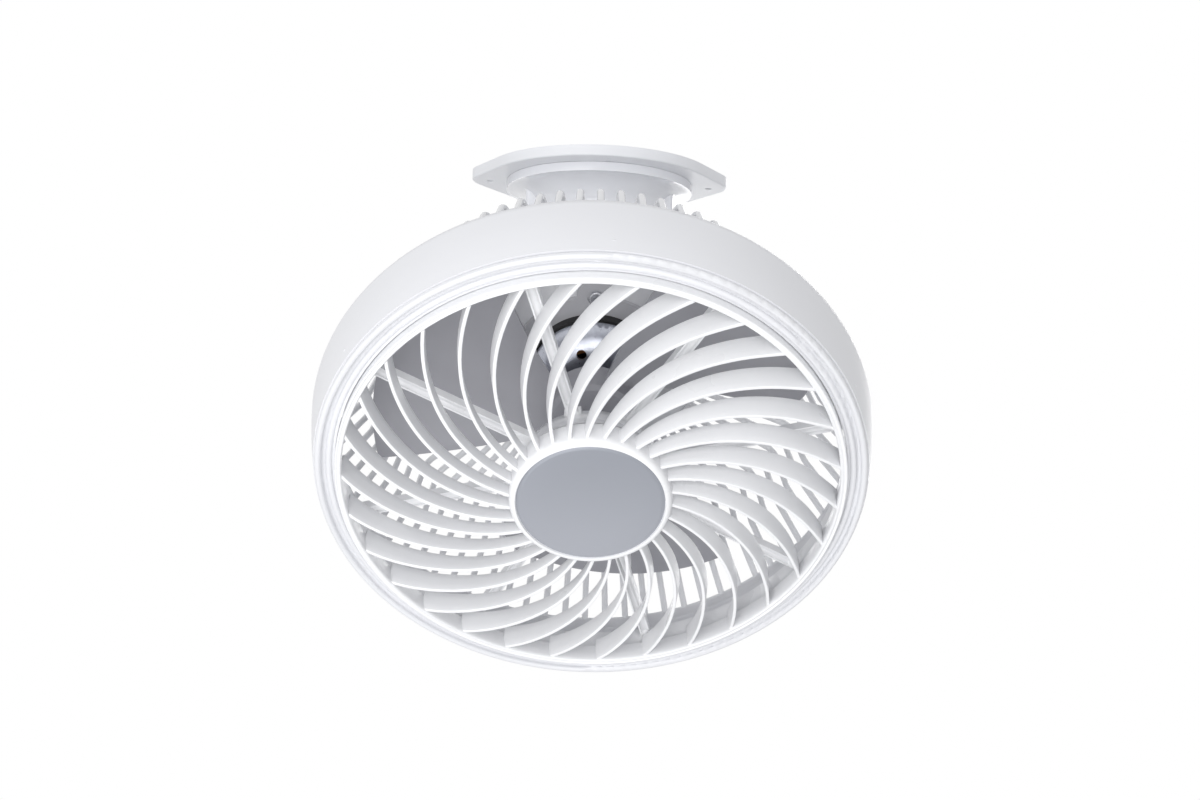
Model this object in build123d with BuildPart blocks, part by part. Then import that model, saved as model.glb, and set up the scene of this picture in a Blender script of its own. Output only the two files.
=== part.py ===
from build123d import *
import os
from math import cos, degrees, radians, sin, sqrt

os.makedirs("parts", exist_ok=True)

# The fan hangs from a ceiling. World +Z is up, the origin is the middle of the base plate's mounting
# face, and the fan blows down and towards -Y. The head has its own plane: its x is world X, its y runs
# down the face and its z runs rearwards along the fan's axis, from the plane of the slats' tips.

# Clearances between pieces
seat_gap = 0.05  # pieces fixed in each other
running_fit = 0.05  # shafts and bores that turn, on the radius
face_play = 0.2  # flat faces that slide past each other
screw_play = 0.15  # screws in their holes, on the radius

# Base plate
plate_thickness = 8.0
plate_radius = 88.0
plate_end_radius = 25.0
plate_half_length = 99.0
plate_hole_spacing = 170.0
plate_hole_radius = 2.6
plate_floor = 3.0
plate_wall = 3.0
plate_boss_radius = 8.0
plate_edge_round = 1.5
pilot_hole_radius = 1.5
pilot_hole_side = 5.0
pilot_hole_gap = 3.5

# Neck
spigot_radius = 38.0
spigot_wall = 5.0
flare_radius = 72.0
flare_edge = 6.5
throat_radius = 50.0
throat_depth = 24.0
neck_height = 32.0
neck_wall = 3.0
ear_gap = 75.0
ear_thickness = 18.9
ear_half_width = 21.0
ear_edge_round = 3.0
pivot_drop = 95.0  # from the underside of the plate to the tilt axis
neck_ring_thickness = 2.0
neck_ring_inner_radius = 30.0
neck_ring_overlap = 7.0
neck_ring_screw_count = 3

# Tilt hinge
bolt_radius = 5.0
bolt_head_radius = 8.5
bolt_head_height = 6.0
bolt_recess_play = 1.5
washer_thickness = 1.5
washer_radius = 11.0
lug_thickness = 6.0
lug_radius = 17.0
lug_tube_wall = 4.0

# Parts in the neck
block_length = 36.0
block_width = 16.0
block_height = 12.0
block_wire_radius = 2.2
block_wire_pitch = 14.4
capacitor_length = 38.0
capacitor_width = 18.0
capacitor_height = 18.0
capacitor_round = 1.5
clip_thickness = 1.0
clip_width = 12.0
clip_foot = 7.0
parts_spacing = 34.0
grommet_hole_radius = 5.0
grommet_bore_radius = 3.2
grommet_lip = 2.0
grommet_lip_height = 1.8

# Head
face_angle = 42.3  # the fan's axis above the horizontal
pivot_depth = 216.0  # from the face to the tilt axis
opening_radius = 160.0

# Front grille
slat_count = 30
slat_start_angle = 2.2
slat_sweep = 35.8
slat_bow = 3.2
slat_thickness = 2.2
slat_dish = 8.4
slat_rim_depth = 19.0
slat_middle_depth = 14.0
slat_hub_depth = 10.2
slat_rim_lean = 0.2
slat_middle_lean = -1.3
slat_hub_lean = -1.0
grille_ring_width = 4.6
grille_ring_front = -2.2
grille_ring_depth = 14.0
grille_hub_radius = 53.0
grille_hub_wall = 2.5
grille_hub_front = -12.6
grille_hub_rear = 5.5
badge_radius = 48.0
badge_thickness = 1.2
badge_recess = 1.6
hub_boss_radius = 7.0
grille_shaft_radius = 3.0
grille_shaft_tip = -5.5
grille_shaft_end = 14.0
grille_screw_head_radius = 4.0
grille_screw_head_height = 2.0
grille_screw_radius = 1.5
grille_screw_length = 8.0

# Front ring
bezel_gap = 0.6
ridge_radius = 2.1
ridge_inner = 169.0
ridge_outer = 175.8
ridge_inner_front = 2.8
ridge_outer_front = 1.2
bezel_lip_front = 4.9
bezel_shoulder = 0.4
bezel_groove = 5.6
bezel_groove_depth = 1.4
bezel_back = 7.2
bezel_boss_radius = 2.4
bezel_skin = 1.2
bezel_screw_count = 6
bezel_screw_angle = 4.0

# Drum
drum_front_radius = 179.0
drum_front = 5.0
drum_wide_radius = 186.7
drum_wide_depth = 43.0
drum_rim_radius = 181.0
drum_depth = 53.5
drum_wall = 2.5
drum_side_bulge = 0.6
rim_share = 0.8
drum_web_front = 10.0
duct_front_radius = 169.2
duct_step_radius = 172.5
duct_rear_radius = 174.8
duct_step_depth = 36.0
duct_wall = 2.0
screw_circle_radius = 173.75
small_screw_radius = 1.3
small_head_radius = 2.4
small_head_height = 1.5
web_boss_radius = 3.0
web_boss_length = 8.0

# Carrier behind the grille
arm_count = 8
arm_start_angle = 29.1
arm_front = 21.0
arm_depth = 6.5
arm_width = 11.0
arm_groove_width = 5.0
arm_groove_depth = 1.5
band_inner_radius = 166.6
band_wall = 2.3
band_front = 7.6
band_rear = 31.0
tab_width = 12.0
cup_front_radius = 51.0
cup_rear_radius = 45.0
cup_front = 8.0
cup_rear = 28.0
cup_wall = 2.5

# Grille motor
grille_motor_radius = 24.5
grille_motor_height = 16.0
gear_boss_radius = 7.0
gear_boss_height = 1.5
motor_ear_thickness = 1.0
motor_ear_width = 9.0
motor_ear_reach = 33.0
ear_boss_height = 5.0

# Rear guard
rib_count = 72
rib_width = 3.4
rib_thickness = 4.0
rib_start_radius = 176.5
shoulder_radius = 153.0
shoulder_depth = 124.0
shoulder_round = 18.0
guard_flange_thickness = 2.5
guard_hub_radius = 78.0
guard_hub_bore = 58.0
guard_hub_thickness = 3.0
guard_screw_count = 6
guard_screw_angle = 32.5
guard_screw_circle = 178.0
guard_head_radius = 2.6
guard_head_height = 2.0
guard_screw_length = 12.0
guard_post_radius = 3.2

# Motor plate
motor_plate_front = 136.0
motor_plate_thickness = 4.0
motor_plate_radius = 60.0
motor_plate_bore = 46.2
lobe_radius = 14.0
lobe_count = 4
lobe_recess_radius = 6.5
lobe_recess_depth = 1.5
cover_head_radius = 4.6
cover_head_height = 2.6
cover_screw_radius = 1.8
cover_screw_length = 16.0

# Motor
shell_radius = 44.8
shell_front_rim = 128.0
dome_front = 110.0
dome_shoulder = 122.0
dome_flat_radius = 16.0
shell_wall = 1.5
dome_bulge_out = 5.6
dome_bulge_forward = 2.8
stator_radius = 44.5
stator_bore = 22.6
stator_length = 24.0
slot_count = 16
slot_width = 4.0
slot_depth = 11.0
rotor_gap = 0.6
winding_inner_radius = 24.5
winding_outer_radius = 35.5
front_winding_length = 9.0
rear_winding_length = 10.0
rear_cup_depth = 158.0
rear_shell_back = 170.0
rear_flat_radius = 26.0
shell_flange_radius = 55.5
bush_radius = 8.0
bush_length = 10.0
bush_house_wall = 2.5
bush_front = 106.5
rear_bush_front = 166.0
motor_bolt_circle = 40.0
motor_bolt_radius = 1.8
motor_bolt_head_radius = 3.4
motor_bolt_head_height = 2.4
motor_bolt_boss_radius = 3.0
rear_bolt_boss_radius = 3.8
motor_bolt_tip = 121.5
motor_screw_circle = 51.0
motor_screw_length = 4.5

# Motor cover
cover_radius = 80.0
cover_side = 7.0
cover_back = 190.0
cover_flat_radius = 48.0
cover_wall = 2.5
cover_boss_radius = 5.0
cover_boss_length = 14.0
vent_count = 16
vent_length = 16.0
vent_width = 3.0
vent_circle = 59.0

# Blade wheel
blade_count = 3
blade_tip_radius = 150.0
blade_thickness = 2.2
blade_margin = 10.0
trailing_bow = 1.0
leading_bow = 6.0
blade_corner_round = 22.0
trailing_tip_angle = 49.0
trailing_root_angle = 40.0
leading_tip_angle = 123.0
leading_root_angle = 92.0
tip_trailing_depth = 60.0
tip_leading_depth = 92.5
root_trailing_depth = 71.5
root_leading_depth = 92.0
hub_radius = 31.0
hub_front = 71.0
hub_rear = 95.0
hub_wall = 2.5
hub_edge = 3.0
shaft_boss_radius = 9.0
shaft_radius = 4.0
shaft_front = 60.0
shaft_rear = 175.0
pin_radius = 1.5
pin_length = 16.0
nut_height = 6.0
nut_across_flats = 13.0
shaft_washer_thickness = 1.2
shaft_washer_radius = 7.5

# Places that follow from the sizes
plate_underside = -plate_thickness
pivot_height = plate_underside - pivot_drop
axis_y = cos(radians(face_angle))
axis_z = sin(radians(face_angle))
head = Plane(
    origin=(0, -pivot_depth * axis_y, pivot_height - pivot_depth * axis_z),
    x_dir=(1, 0, 0),
    z_dir=(0, axis_y, axis_z),
)
head_axis = Axis(head.origin, head.z_dir)
head_section = Plane(origin=head.origin, x_dir=head.x_dir, z_dir=-head.y_dir)
tilt_plane = Plane(origin=(0, 0, pivot_height), x_dir=(0, 1, 0), z_dir=(1, 0, 0))

upwards = (Align.CENTER, Align.CENTER, Align.MIN)
downwards = (Align.CENTER, Align.CENTER, Align.MAX)


def finish(piece, label):
    """Name a finished piece and write its file."""
    piece.part.label = label
    export_step(piece.part, "parts/" + label + ".step")


def polar(radius, angle):
    """Point on a circle round the head's axis, in the head's plane."""
    return (radius * cos(radians(angle)), radius * sin(radians(angle)))


def pan_screws(plane, places, head_radius, head_height, shank_radius, length):
    """Screws whose heads stand on the plane and whose shanks run along its normal."""
    with BuildPart(plane) as screws:
        with Locations(*places):
            Cylinder(head_radius, head_height, align=downwards)
            Cylinder(shank_radius, length, align=upwards)
        rims = screws.edges().filter_by(GeomType.CIRCLE).group_by(SortBy.RADIUS)[-1]
        back = Axis(plane.origin, plane.z_dir)
        chamfer(rims.group_by(back)[0], head_height / 3)
        with Locations(*[(x, y, -head_height) for x, y in places]):
            Box(head_radius, head_height / 4, head_height / 2, align=upwards, mode=Mode.SUBTRACT)
            Box(head_height / 4, head_radius, head_height / 2, align=upwards, mode=Mode.SUBTRACT)
    return screws


def around(radius, count, start_angle):
    """Evenly spaced places on a circle."""
    return [polar(radius, start_angle + 360 * k / count) for k in range(count)]


# Base plate: a lozenge tray with two screw bosses and a round hole for the neck's spigot
plate_plane = Plane.XY.offset(plate_underside)
plate_screw_places = [(-plate_hole_spacing / 2, 0), (plate_hole_spacing / 2, 0)]
plate_end = plate_half_length - plate_end_radius
plate_ends = [(-plate_end, 0), (plate_end, 0)]
with BuildPart() as ceiling_plate:
    with BuildSketch(plate_plane) as plate_outline:
        Circle(plate_radius)
        with Locations(*plate_ends):
            Circle(plate_end_radius)
        make_hull()
    extrude(amount=plate_thickness)
    fillet(ceiling_plate.edges().group_by(Axis.Z)[0], plate_edge_round)
    with BuildSketch(plate_plane.offset(plate_floor)) as plate_hollow:
        Circle(plate_radius - plate_wall)
        with Locations(*plate_ends):
            Circle(plate_end_radius - plate_wall)
        make_hull()
        with Locations(*plate_screw_places):
            Circle(plate_boss_radius, mode=Mode.SUBTRACT)
    extrude(amount=plate_thickness - plate_floor, mode=Mode.SUBTRACT)
    with BuildSketch(plate_plane) as plate_holes:
        Circle(spigot_radius + running_fit)
        with Locations(*plate_screw_places):
            Circle(plate_hole_radius)
        with Locations((pilot_hole_side, -flare_radius - pilot_hole_gap)):
            Circle(pilot_hole_radius)
    extrude(amount=plate_thickness, mode=Mode.SUBTRACT)
finish(ceiling_plate, "ceiling_plate")

# Neck: a hollow trumpet with a spigot above and two ears below
flare_top = plate_underside - face_play
spigot_top = plate_underside + plate_floor + face_play
spigot_bore = spigot_radius - spigot_wall
cavity_radius = throat_radius - neck_wall
neck_bottom = flare_top - neck_height
cavity_floor = neck_bottom + neck_wall
ear_top = flare_top - flare_edge
ear_outer = ear_gap / 2 + ear_thickness
bend_share = 0.3
edge_low = (flare_radius, ear_top)
throat = (throat_radius, flare_top - throat_depth)
bend = (
    throat_radius + bend_share * (flare_radius - throat_radius),
    ear_top - bend_share * (throat_depth - flare_edge),
)
ring_screw_places = around(spigot_radius - spigot_wall / 2, neck_ring_screw_count, 90)
block_y = -parts_spacing / 2
capacitor_y = parts_spacing / 2
block_screw_places = [(-block_length / 4, block_y), (block_length / 4, block_y)]
clip_screw_y = capacitor_y + capacitor_width / 2 + clip_thickness + clip_foot / 2
floor_screw_depth = neck_wall - face_play
with BuildPart() as swivel_neck:
    with BuildSketch(Plane.XZ) as neck_profile:
        with BuildLine():
            Polyline((0, flare_top), (flare_radius, flare_top), edge_low)
            ThreePointArc(edge_low, bend, throat)
            Polyline(throat, (throat_radius, neck_bottom), (0, neck_bottom), (0, flare_top))
        make_face()
    revolve(axis=Axis.Z)
    with BuildSketch(tilt_plane) as ear_side:
        Circle(ear_half_width)
        with Locations((0, (ear_top - pivot_height) / 2)):
            Rectangle(2 * ear_half_width, ear_top - pivot_height)
    extrude(amount=ear_outer, both=True)
    rims = swivel_neck.edges().filter_by_position(Axis.X, ear_outer - 0.01, ear_outer + 0.01)
    rims += swivel_neck.edges().filter_by_position(Axis.X, -ear_outer - 0.01, -ear_outer + 0.01)
    fillet(rims, ear_edge_round)
    with Locations((0, 0, neck_bottom)):
        Box(ear_gap, 4 * ear_half_width, 2 * pivot_drop, align=downwards, mode=Mode.SUBTRACT)
    with Locations((0, 0, cavity_floor)):
        Cylinder(cavity_radius, flare_top - neck_wall - cavity_floor, align=upwards, mode=Mode.SUBTRACT)
    with BuildSketch(Plane.XY.offset(spigot_top)) as spigot:
        Circle(spigot_radius)
    extrude(amount=flare_top - spigot_top)
    with BuildSketch(Plane.XY.offset(spigot_top)) as spigot_hole:
        Circle(spigot_bore)
    extrude(amount=flare_top - neck_wall - spigot_top, mode=Mode.SUBTRACT)
    with BuildSketch(Plane.XY.offset(spigot_top)) as ring_screw_holes:
        with Locations(*ring_screw_places):
            Circle(small_screw_radius + screw_play)
    extrude(amount=flare_top - neck_wall - spigot_top, mode=Mode.SUBTRACT)
    with BuildSketch(Plane.XY.offset(cavity_floor)) as floor_holes:
        Circle(grommet_hole_radius)
    extrude(amount=-neck_wall, mode=Mode.SUBTRACT)
    with BuildSketch(Plane.XY.offset(cavity_floor)) as floor_screw_holes:
        with Locations(*block_screw_places, (0, clip_screw_y)):
            Circle(small_screw_radius + screw_play)
    extrude(amount=-floor_screw_depth, mode=Mode.SUBTRACT)
    with BuildSketch(tilt_plane) as ear_bore:
        Circle(bolt_radius + screw_play)
    extrude(amount=ear_outer, both=True, mode=Mode.SUBTRACT)
    for side in (-1, 1):
        with BuildSketch(tilt_plane.offset(side * ear_outer)) as head_recess:
            Circle(bolt_head_radius + bolt_recess_play)
        extrude(amount=-side * bolt_head_height, mode=Mode.SUBTRACT)
finish(swivel_neck, "swivel_neck")

# Retaining ring: hangs the neck in the plate, screwed to the spigot's top
with BuildPart() as neck_ring:
    with BuildSketch(Plane.XY.offset(spigot_top)) as ring_outline:
        Circle(spigot_radius + neck_ring_overlap)
        Circle(neck_ring_inner_radius, mode=Mode.SUBTRACT)
        with Locations(*ring_screw_places):
            Circle(small_screw_radius + screw_play, mode=Mode.SUBTRACT)
    extrude(amount=neck_ring_thickness)
finish(neck_ring, "neck_ring")

ring_screw_plane = Plane(
    origin=(0, 0, spigot_top + neck_ring_thickness), x_dir=(1, 0, 0), z_dir=(0, 0, -1)
)
neck_ring_screws = pan_screws(
    ring_screw_plane,
    [(x, -y) for x, y in ring_screw_places],
    small_head_radius,
    small_head_height,
    small_screw_radius,
    neck_ring_thickness + spigot_top - flare_top + neck_wall - face_play,
)
finish(neck_ring_screws, "neck_ring_screws")

# Terminal block on the neck's floor: three wire ways and two screw holes
block_top = cavity_floor + block_height
with BuildPart() as terminal_block:
    with Locations((0, block_y, cavity_floor)):
        Box(block_length, block_width, block_height, align=upwards)
    with BuildSketch(Plane.XY.offset(cavity_floor)) as block_holes:
        with Locations(*block_screw_places):
            Circle(small_screw_radius + screw_play)
    extrude(amount=block_height, mode=Mode.SUBTRACT)
    with BuildSketch(Plane.XZ.offset(-block_y)) as wire_ways:
        with Locations((0, cavity_floor + block_height / 2)):
            with GridLocations(block_wire_pitch, 1, 3, 1):
                Circle(block_wire_radius)
    extrude(amount=block_width, both=True, mode=Mode.SUBTRACT)
finish(terminal_block, "terminal_block")

block_screw_plane = Plane(origin=(0, 0, block_top), x_dir=(1, 0, 0), z_dir=(0, 0, -1))
terminal_screws = pan_screws(
    block_screw_plane,
    [(x, -y) for x, y in block_screw_places],
    small_head_radius,
    small_head_height,
    small_screw_radius,
    block_height + floor_screw_depth,
)
finish(terminal_screws, "terminal_screws")

# Run capacitor under its clip
capacitor_top = cavity_floor + capacitor_height
with BuildPart() as capacitor:
    with Locations((0, capacitor_y, cavity_floor)):
        Box(capacitor_length, capacitor_width, capacitor_height, align=upwards)
    fillet(capacitor.edges().filter_by(Axis.Z), capacitor_round)
finish(capacitor, "capacitor")

clip_inner = capacitor_y - capacitor_width / 2
clip_outer = capacitor_y + capacitor_width / 2
with BuildPart() as capacitor_clip:
    with BuildSketch(Plane.YZ) as clip_profile:
        with BuildLine():
            Polyline(
                (clip_inner - clip_thickness, cavity_floor + capacitor_height / 2),
                (clip_inner - clip_thickness, capacitor_top + clip_thickness),
                (clip_outer + clip_thickness, capacitor_top + clip_thickness),
                (clip_outer + clip_thickness, cavity_floor + clip_thickness),
                (clip_outer + clip_thickness + clip_foot, cavity_floor + clip_thickness),
                (clip_outer + clip_thickness + clip_foot, cavity_floor),
                (clip_outer, cavity_floor),
                (clip_outer, capacitor_top),
                (clip_inner, capacitor_top),
                (clip_inner, cavity_floor + capacitor_height / 2),
                close=True,
            )
        make_face()
    extrude(amount=clip_width / 2, both=True)
    with BuildSketch(Plane.XY.offset(cavity_floor)) as clip_hole:
        with Locations((0, clip_screw_y)):
            Circle(small_screw_radius + screw_play)
    extrude(amount=clip_thickness, mode=Mode.SUBTRACT)
finish(capacitor_clip, "capacitor_clip")

clip_screw_plane = Plane(
    origin=(0, 0, cavity_floor + clip_thickness), x_dir=(1, 0, 0), z_dir=(0, 0, -1)
)
capacitor_screw = pan_screws(
    clip_screw_plane,
    [(0, -clip_screw_y)],
    small_head_radius,
    small_head_height,
    small_screw_radius,
    clip_thickness + floor_screw_depth,
)
finish(capacitor_screw, "capacitor_screw")


def grommet(plane, wall):
    """Rubber grommet in a wall that starts at the plane and lies on its near side."""
    with BuildPart(plane) as ring:
        Cylinder(grommet_hole_radius + grommet_lip, grommet_lip_height, align=upwards)
        Cylinder(grommet_hole_radius, wall, align=downwards)
        with Locations((0, 0, -wall)):
            Cylinder(grommet_hole_radius + grommet_lip, grommet_lip_height, align=downwards)
        Cylinder(grommet_bore_radius, 4 * (wall + grommet_lip_height), mode=Mode.SUBTRACT)
    return ring


neck_grommet = grommet(Plane.XY.offset(cavity_floor), neck_wall)
finish(neck_grommet, "neck_grommet")

# Tilt hinge: a bolt along X through the ears and the head's lugs, two washers and a nut
washer_outer = ear_gap / 2 - face_play / 2
lug_outer = washer_outer - washer_thickness - face_play / 2
bolt_head_seat = ear_outer - bolt_head_height
with BuildPart() as tilt_bolt:
    with BuildSketch(tilt_plane.offset(bolt_head_seat)) as bolt_hexagon:
        RegularPolygon(bolt_head_radius, 6)
    extrude(amount=bolt_head_height)
    with BuildSketch(tilt_plane.offset(bolt_head_seat)) as bolt_shank:
        Circle(bolt_radius)
    extrude(amount=-2 * bolt_head_seat - bolt_head_height)
    chamfer(tilt_bolt.edges().group_by(Axis.X)[0], bolt_radius / 5)
finish(tilt_bolt, "tilt_bolt")

with BuildPart() as tilt_nut:
    with BuildSketch(tilt_plane.offset(-bolt_head_seat)) as nut_outline:
        RegularPolygon(bolt_head_radius, 6)
        Circle(bolt_radius + seat_gap, mode=Mode.SUBTRACT)
    extrude(amount=-bolt_head_height)
finish(tilt_nut, "tilt_nut")

with BuildPart() as tilt_washers:
    for side in (-1, 1):
        with BuildSketch(tilt_plane.offset(side * washer_outer)) as washer_outline:
            Circle(washer_radius)
            Circle(bolt_radius + screw_play, mode=Mode.SUBTRACT)
        extrude(amount=-side * washer_thickness)
finish(tilt_washers, "tilt_washers")

# Drum: outer wall, front web and inner duct wall, open to the rear, with posts for the guard's screws
web_back = drum_web_front + drum_wall
wall_front_inner = drum_front_radius - drum_wall
guard_seat = drum_depth - guard_flange_thickness
duct_front_outer = duct_front_radius + duct_wall
duct_rear_outer = duct_rear_radius + duct_wall
rim_shoulder = (drum_wide_depth + 2 * drum_depth) / 3
rim_bulge = drum_rim_radius + rim_share * (drum_wide_radius - drum_rim_radius)
rim_inset = drum_wall / sqrt(2)
side_middle = (drum_front + drum_wide_depth) / 2
side_bulge = (drum_front_radius + drum_wide_radius) / 2 + drum_side_bulge
tab_places = around(screw_circle_radius, arm_count, arm_start_angle)
bezel_screw_places = around(screw_circle_radius, bezel_screw_count, bezel_screw_angle)
guard_screw_places = around(guard_screw_circle, guard_screw_count, guard_screw_angle)
with BuildPart() as drum_shell:
    with BuildSketch(head_section) as drum_profile:
        with BuildLine():
            wide = (drum_wide_radius, drum_wide_depth)
            inner_wide = (drum_wide_radius - drum_wall, drum_wide_depth)
            ThreePointArc((drum_front_radius, drum_front), (side_bulge, side_middle), wide)
            ThreePointArc(wide, (rim_bulge, rim_shoulder), (drum_rim_radius, drum_depth))
            Line((drum_rim_radius, drum_depth), (drum_rim_radius, guard_seat))
            ThreePointArc(
                (drum_rim_radius, guard_seat),
                (rim_bulge - rim_inset, rim_shoulder - rim_inset),
                inner_wide,
            )
            ThreePointArc(
                inner_wide,
                (side_bulge - drum_wall, side_middle),
                (wall_front_inner, web_back),
            )
            Polyline(
                (wall_front_inner, web_back),
                (duct_front_outer, web_back),
                (duct_front_outer, duct_step_depth),
                (duct_step_radius + duct_wall, duct_step_depth),
                (duct_rear_outer, guard_seat),
                (duct_rear_radius, guard_seat),
                (duct_step_radius, duct_step_depth + duct_wall),
                (duct_front_radius, duct_step_depth + duct_wall),
                (duct_front_radius, drum_web_front),
                (wall_front_inner, drum_web_front),
                (wall_front_inner, drum_front),
                (drum_front_radius, drum_front),
            )
        make_face()
    revolve(axis=head_axis)
    with BuildSketch(head.offset(web_back)) as web_bosses:
        with Locations(*tab_places):
            Circle(web_boss_radius)
    extrude(amount=web_boss_length)
    with BuildSketch(head.offset(web_back)) as guard_posts:
        with Locations(*guard_screw_places):
            Circle(guard_post_radius)
    extrude(amount=guard_seat - web_back)
    with BuildSketch(head.offset(drum_web_front)) as tab_screw_holes:
        with Locations(*tab_places):
            Circle(small_screw_radius + screw_play)
    extrude(amount=drum_wall + web_boss_length - duct_wall, mode=Mode.SUBTRACT)
    with BuildSketch(head.offset(drum_web_front)) as bezel_screw_holes:
        with Locations(*bezel_screw_places):
            Circle(small_screw_radius + screw_play)
    extrude(amount=drum_wall, mode=Mode.SUBTRACT)
    with BuildSketch(head.offset(guard_seat)) as guard_screw_holes:
        with Locations(*guard_screw_places):
            Circle(small_screw_radius + screw_play)
    extrude(amount=-guard_screw_length, mode=Mode.SUBTRACT)
finish(drum_shell, "drum_shell")

# Front ring: two rounded ridges, a lip over the drum's edge and six bosses behind
bezel_bore = opening_radius + grille_ring_width + bezel_gap
ridge_foot = ridge_inner_front + ridge_radius
outer_foot = ridge_outer_front + ridge_radius
bezel_edge = ridge_outer + ridge_radius + bezel_shoulder / 2
with BuildPart() as front_bezel:
    with BuildSketch(head_section) as bezel_profile:
        with BuildLine():
            Polyline(
                (wall_front_inner - seat_gap, drum_front),
                (wall_front_inner - seat_gap, bezel_back),
                (bezel_bore, bezel_back),
                (bezel_bore, bezel_lip_front),
                (ridge_inner - ridge_radius, ridge_foot),
            )
            ThreePointArc(
                (ridge_inner - ridge_radius, ridge_foot),
                (ridge_inner, ridge_inner_front),
                (ridge_inner + ridge_radius, ridge_foot),
            )
            ThreePointArc(
                (ridge_inner + ridge_radius, ridge_foot),
                ((ridge_inner + ridge_outer) / 2, bezel_groove),
                (ridge_outer - ridge_radius, outer_foot),
            )
            ThreePointArc(
                (ridge_outer - ridge_radius, outer_foot),
                (ridge_outer, ridge_outer_front),
                (ridge_outer + ridge_radius, outer_foot),
            )
            Polyline(
                (ridge_outer + ridge_radius, outer_foot),
                (bezel_edge, outer_foot + bezel_shoulder),
                (bezel_edge - bezel_groove_depth, outer_foot + bezel_shoulder),
                (bezel_edge - bezel_groove_depth, drum_front - seat_gap),
                (wall_front_inner - seat_gap, drum_front - seat_gap),
                (wall_front_inner - seat_gap, drum_front),
            )
        make_face()
    revolve(axis=head_axis)
    with BuildSketch(head.offset(bezel_back)) as bezel_bosses:
        with Locations(*bezel_screw_places):
            Circle(bezel_boss_radius)
    extrude(amount=drum_web_front - bezel_back)
    with BuildSketch(head.offset(drum_web_front)) as boss_holes:
        with Locations(*bezel_screw_places):
            Circle(small_screw_radius + screw_play)
    extrude(amount=bezel_groove + bezel_skin - drum_web_front, mode=Mode.SUBTRACT)
finish(front_bezel, "front_bezel")

bezel_screw_plane = Plane(
    origin=head.offset(web_back).origin, x_dir=head.x_dir, z_dir=-head.z_dir
)
bezel_screws = pan_screws(
    bezel_screw_plane,
    [(x, -y) for x, y in bezel_screw_places],
    small_head_radius,
    small_head_height,
    small_screw_radius,
    web_back - bezel_groove - bezel_skin - screw_play,
)
finish(bezel_screws, "bezel_screws")

# Carrier: a band in the drum's mouth, eight grooved arms and the cup of the grille's motor
band_outer_radius = band_inner_radius + band_wall
tab_reach = wall_front_inner - seat_gap
tab_thickness = drum_web_front - band_front
arm_inner = cup_rear_radius - cup_wall / 2
arm_outer = band_inner_radius + band_wall / 2
cup_floor = cup_rear - cup_wall
ear_screw_circle = motor_ear_reach - motor_ear_width / 2
motor_ear_places = around(ear_screw_circle, 2, 0)
with BuildPart() as grille_carrier:
    with BuildSketch(head.offset(arm_front)) as arms:
        with PolarLocations(0, arm_count, start_angle=arm_start_angle):
            with Locations(((arm_inner + arm_outer) / 2, 0)):
                Rectangle(arm_outer - arm_inner, arm_width)
    extrude(amount=arm_depth)
    with BuildSketch(head.offset(arm_front)) as grooves:
        with PolarLocations(0, arm_count, start_angle=arm_start_angle):
            with Locations(((band_inner_radius + cup_front_radius) / 2, 0)):
                SlotOverall(
                    band_inner_radius - cup_front_radius - 2 * arm_groove_width,
                    arm_groove_width,
                )
    extrude(amount=arm_groove_depth, mode=Mode.SUBTRACT)
    with BuildSketch(head_section) as band_profile:
        with BuildLine():
            Polyline(
                (band_inner_radius, band_front),
                (band_outer_radius, band_front),
                (band_outer_radius, band_rear),
                (band_inner_radius, band_rear),
                close=True,
            )
        make_face()
    revolve(axis=head_axis)
    with BuildSketch(head_section) as cup_profile:
        with BuildLine():
            Polyline(
                (0, cup_front),
                (cup_front_radius, cup_front),
                (cup_rear_radius, cup_rear),
                (0, cup_rear),
                close=True,
            )
        make_face()
    revolve(axis=head_axis)
    with BuildSketch(head_section) as cup_hollow:
        with BuildLine():
            Polyline(
                (0, cup_front),
                (cup_front_radius - cup_wall, cup_front),
                (cup_rear_radius - cup_wall, cup_floor),
                (0, cup_floor),
                close=True,
            )
        make_face()
    revolve(axis=head_axis, mode=Mode.SUBTRACT)
    with BuildSketch(head.offset(band_front)) as tabs:
        with PolarLocations(0, arm_count, start_angle=arm_start_angle):
            with Locations(((band_outer_radius + tab_reach) / 2 - band_wall / 4, 0)):
                Rectangle(tab_reach - band_outer_radius + band_wall / 2, tab_width)
        Circle(tab_reach, mode=Mode.INTERSECT)
    extrude(amount=tab_thickness)
    with BuildSketch(head.offset(cup_rear)) as ear_bosses:
        with Locations(*motor_ear_places):
            Circle(web_boss_radius)
    extrude(amount=ear_boss_height)
    with BuildSketch(head.offset(cup_floor)) as ear_holes:
        with Locations(*motor_ear_places):
            Circle(small_screw_radius + screw_play)
    extrude(amount=cup_wall + ear_boss_height, mode=Mode.SUBTRACT)
    with BuildSketch(head.offset(band_front)) as tab_holes:
        with Locations(*tab_places):
            Circle(small_screw_radius + screw_play)
    extrude(amount=tab_thickness, mode=Mode.SUBTRACT)
    with BuildPart(head.offset(band_front), mode=Mode.PRIVATE) as sinks:
        with Locations(*tab_places):
            Cone(
                small_head_radius,
                small_screw_radius + screw_play,
                small_head_radius - small_screw_radius,
                align=upwards,
            )
    add(sinks.part, mode=Mode.SUBTRACT)
finish(grille_carrier, "grille_carrier")

with BuildPart(head.offset(band_front)) as carrier_screws:
    with Locations(*tab_places):
        Cone(
            small_head_radius - seat_gap,
            small_screw_radius,
            small_head_radius - small_screw_radius,
            align=upwards,
        )
        Cylinder(small_screw_radius, tab_thickness + web_boss_length, align=upwards)
finish(carrier_screws, "carrier_screws")

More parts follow.
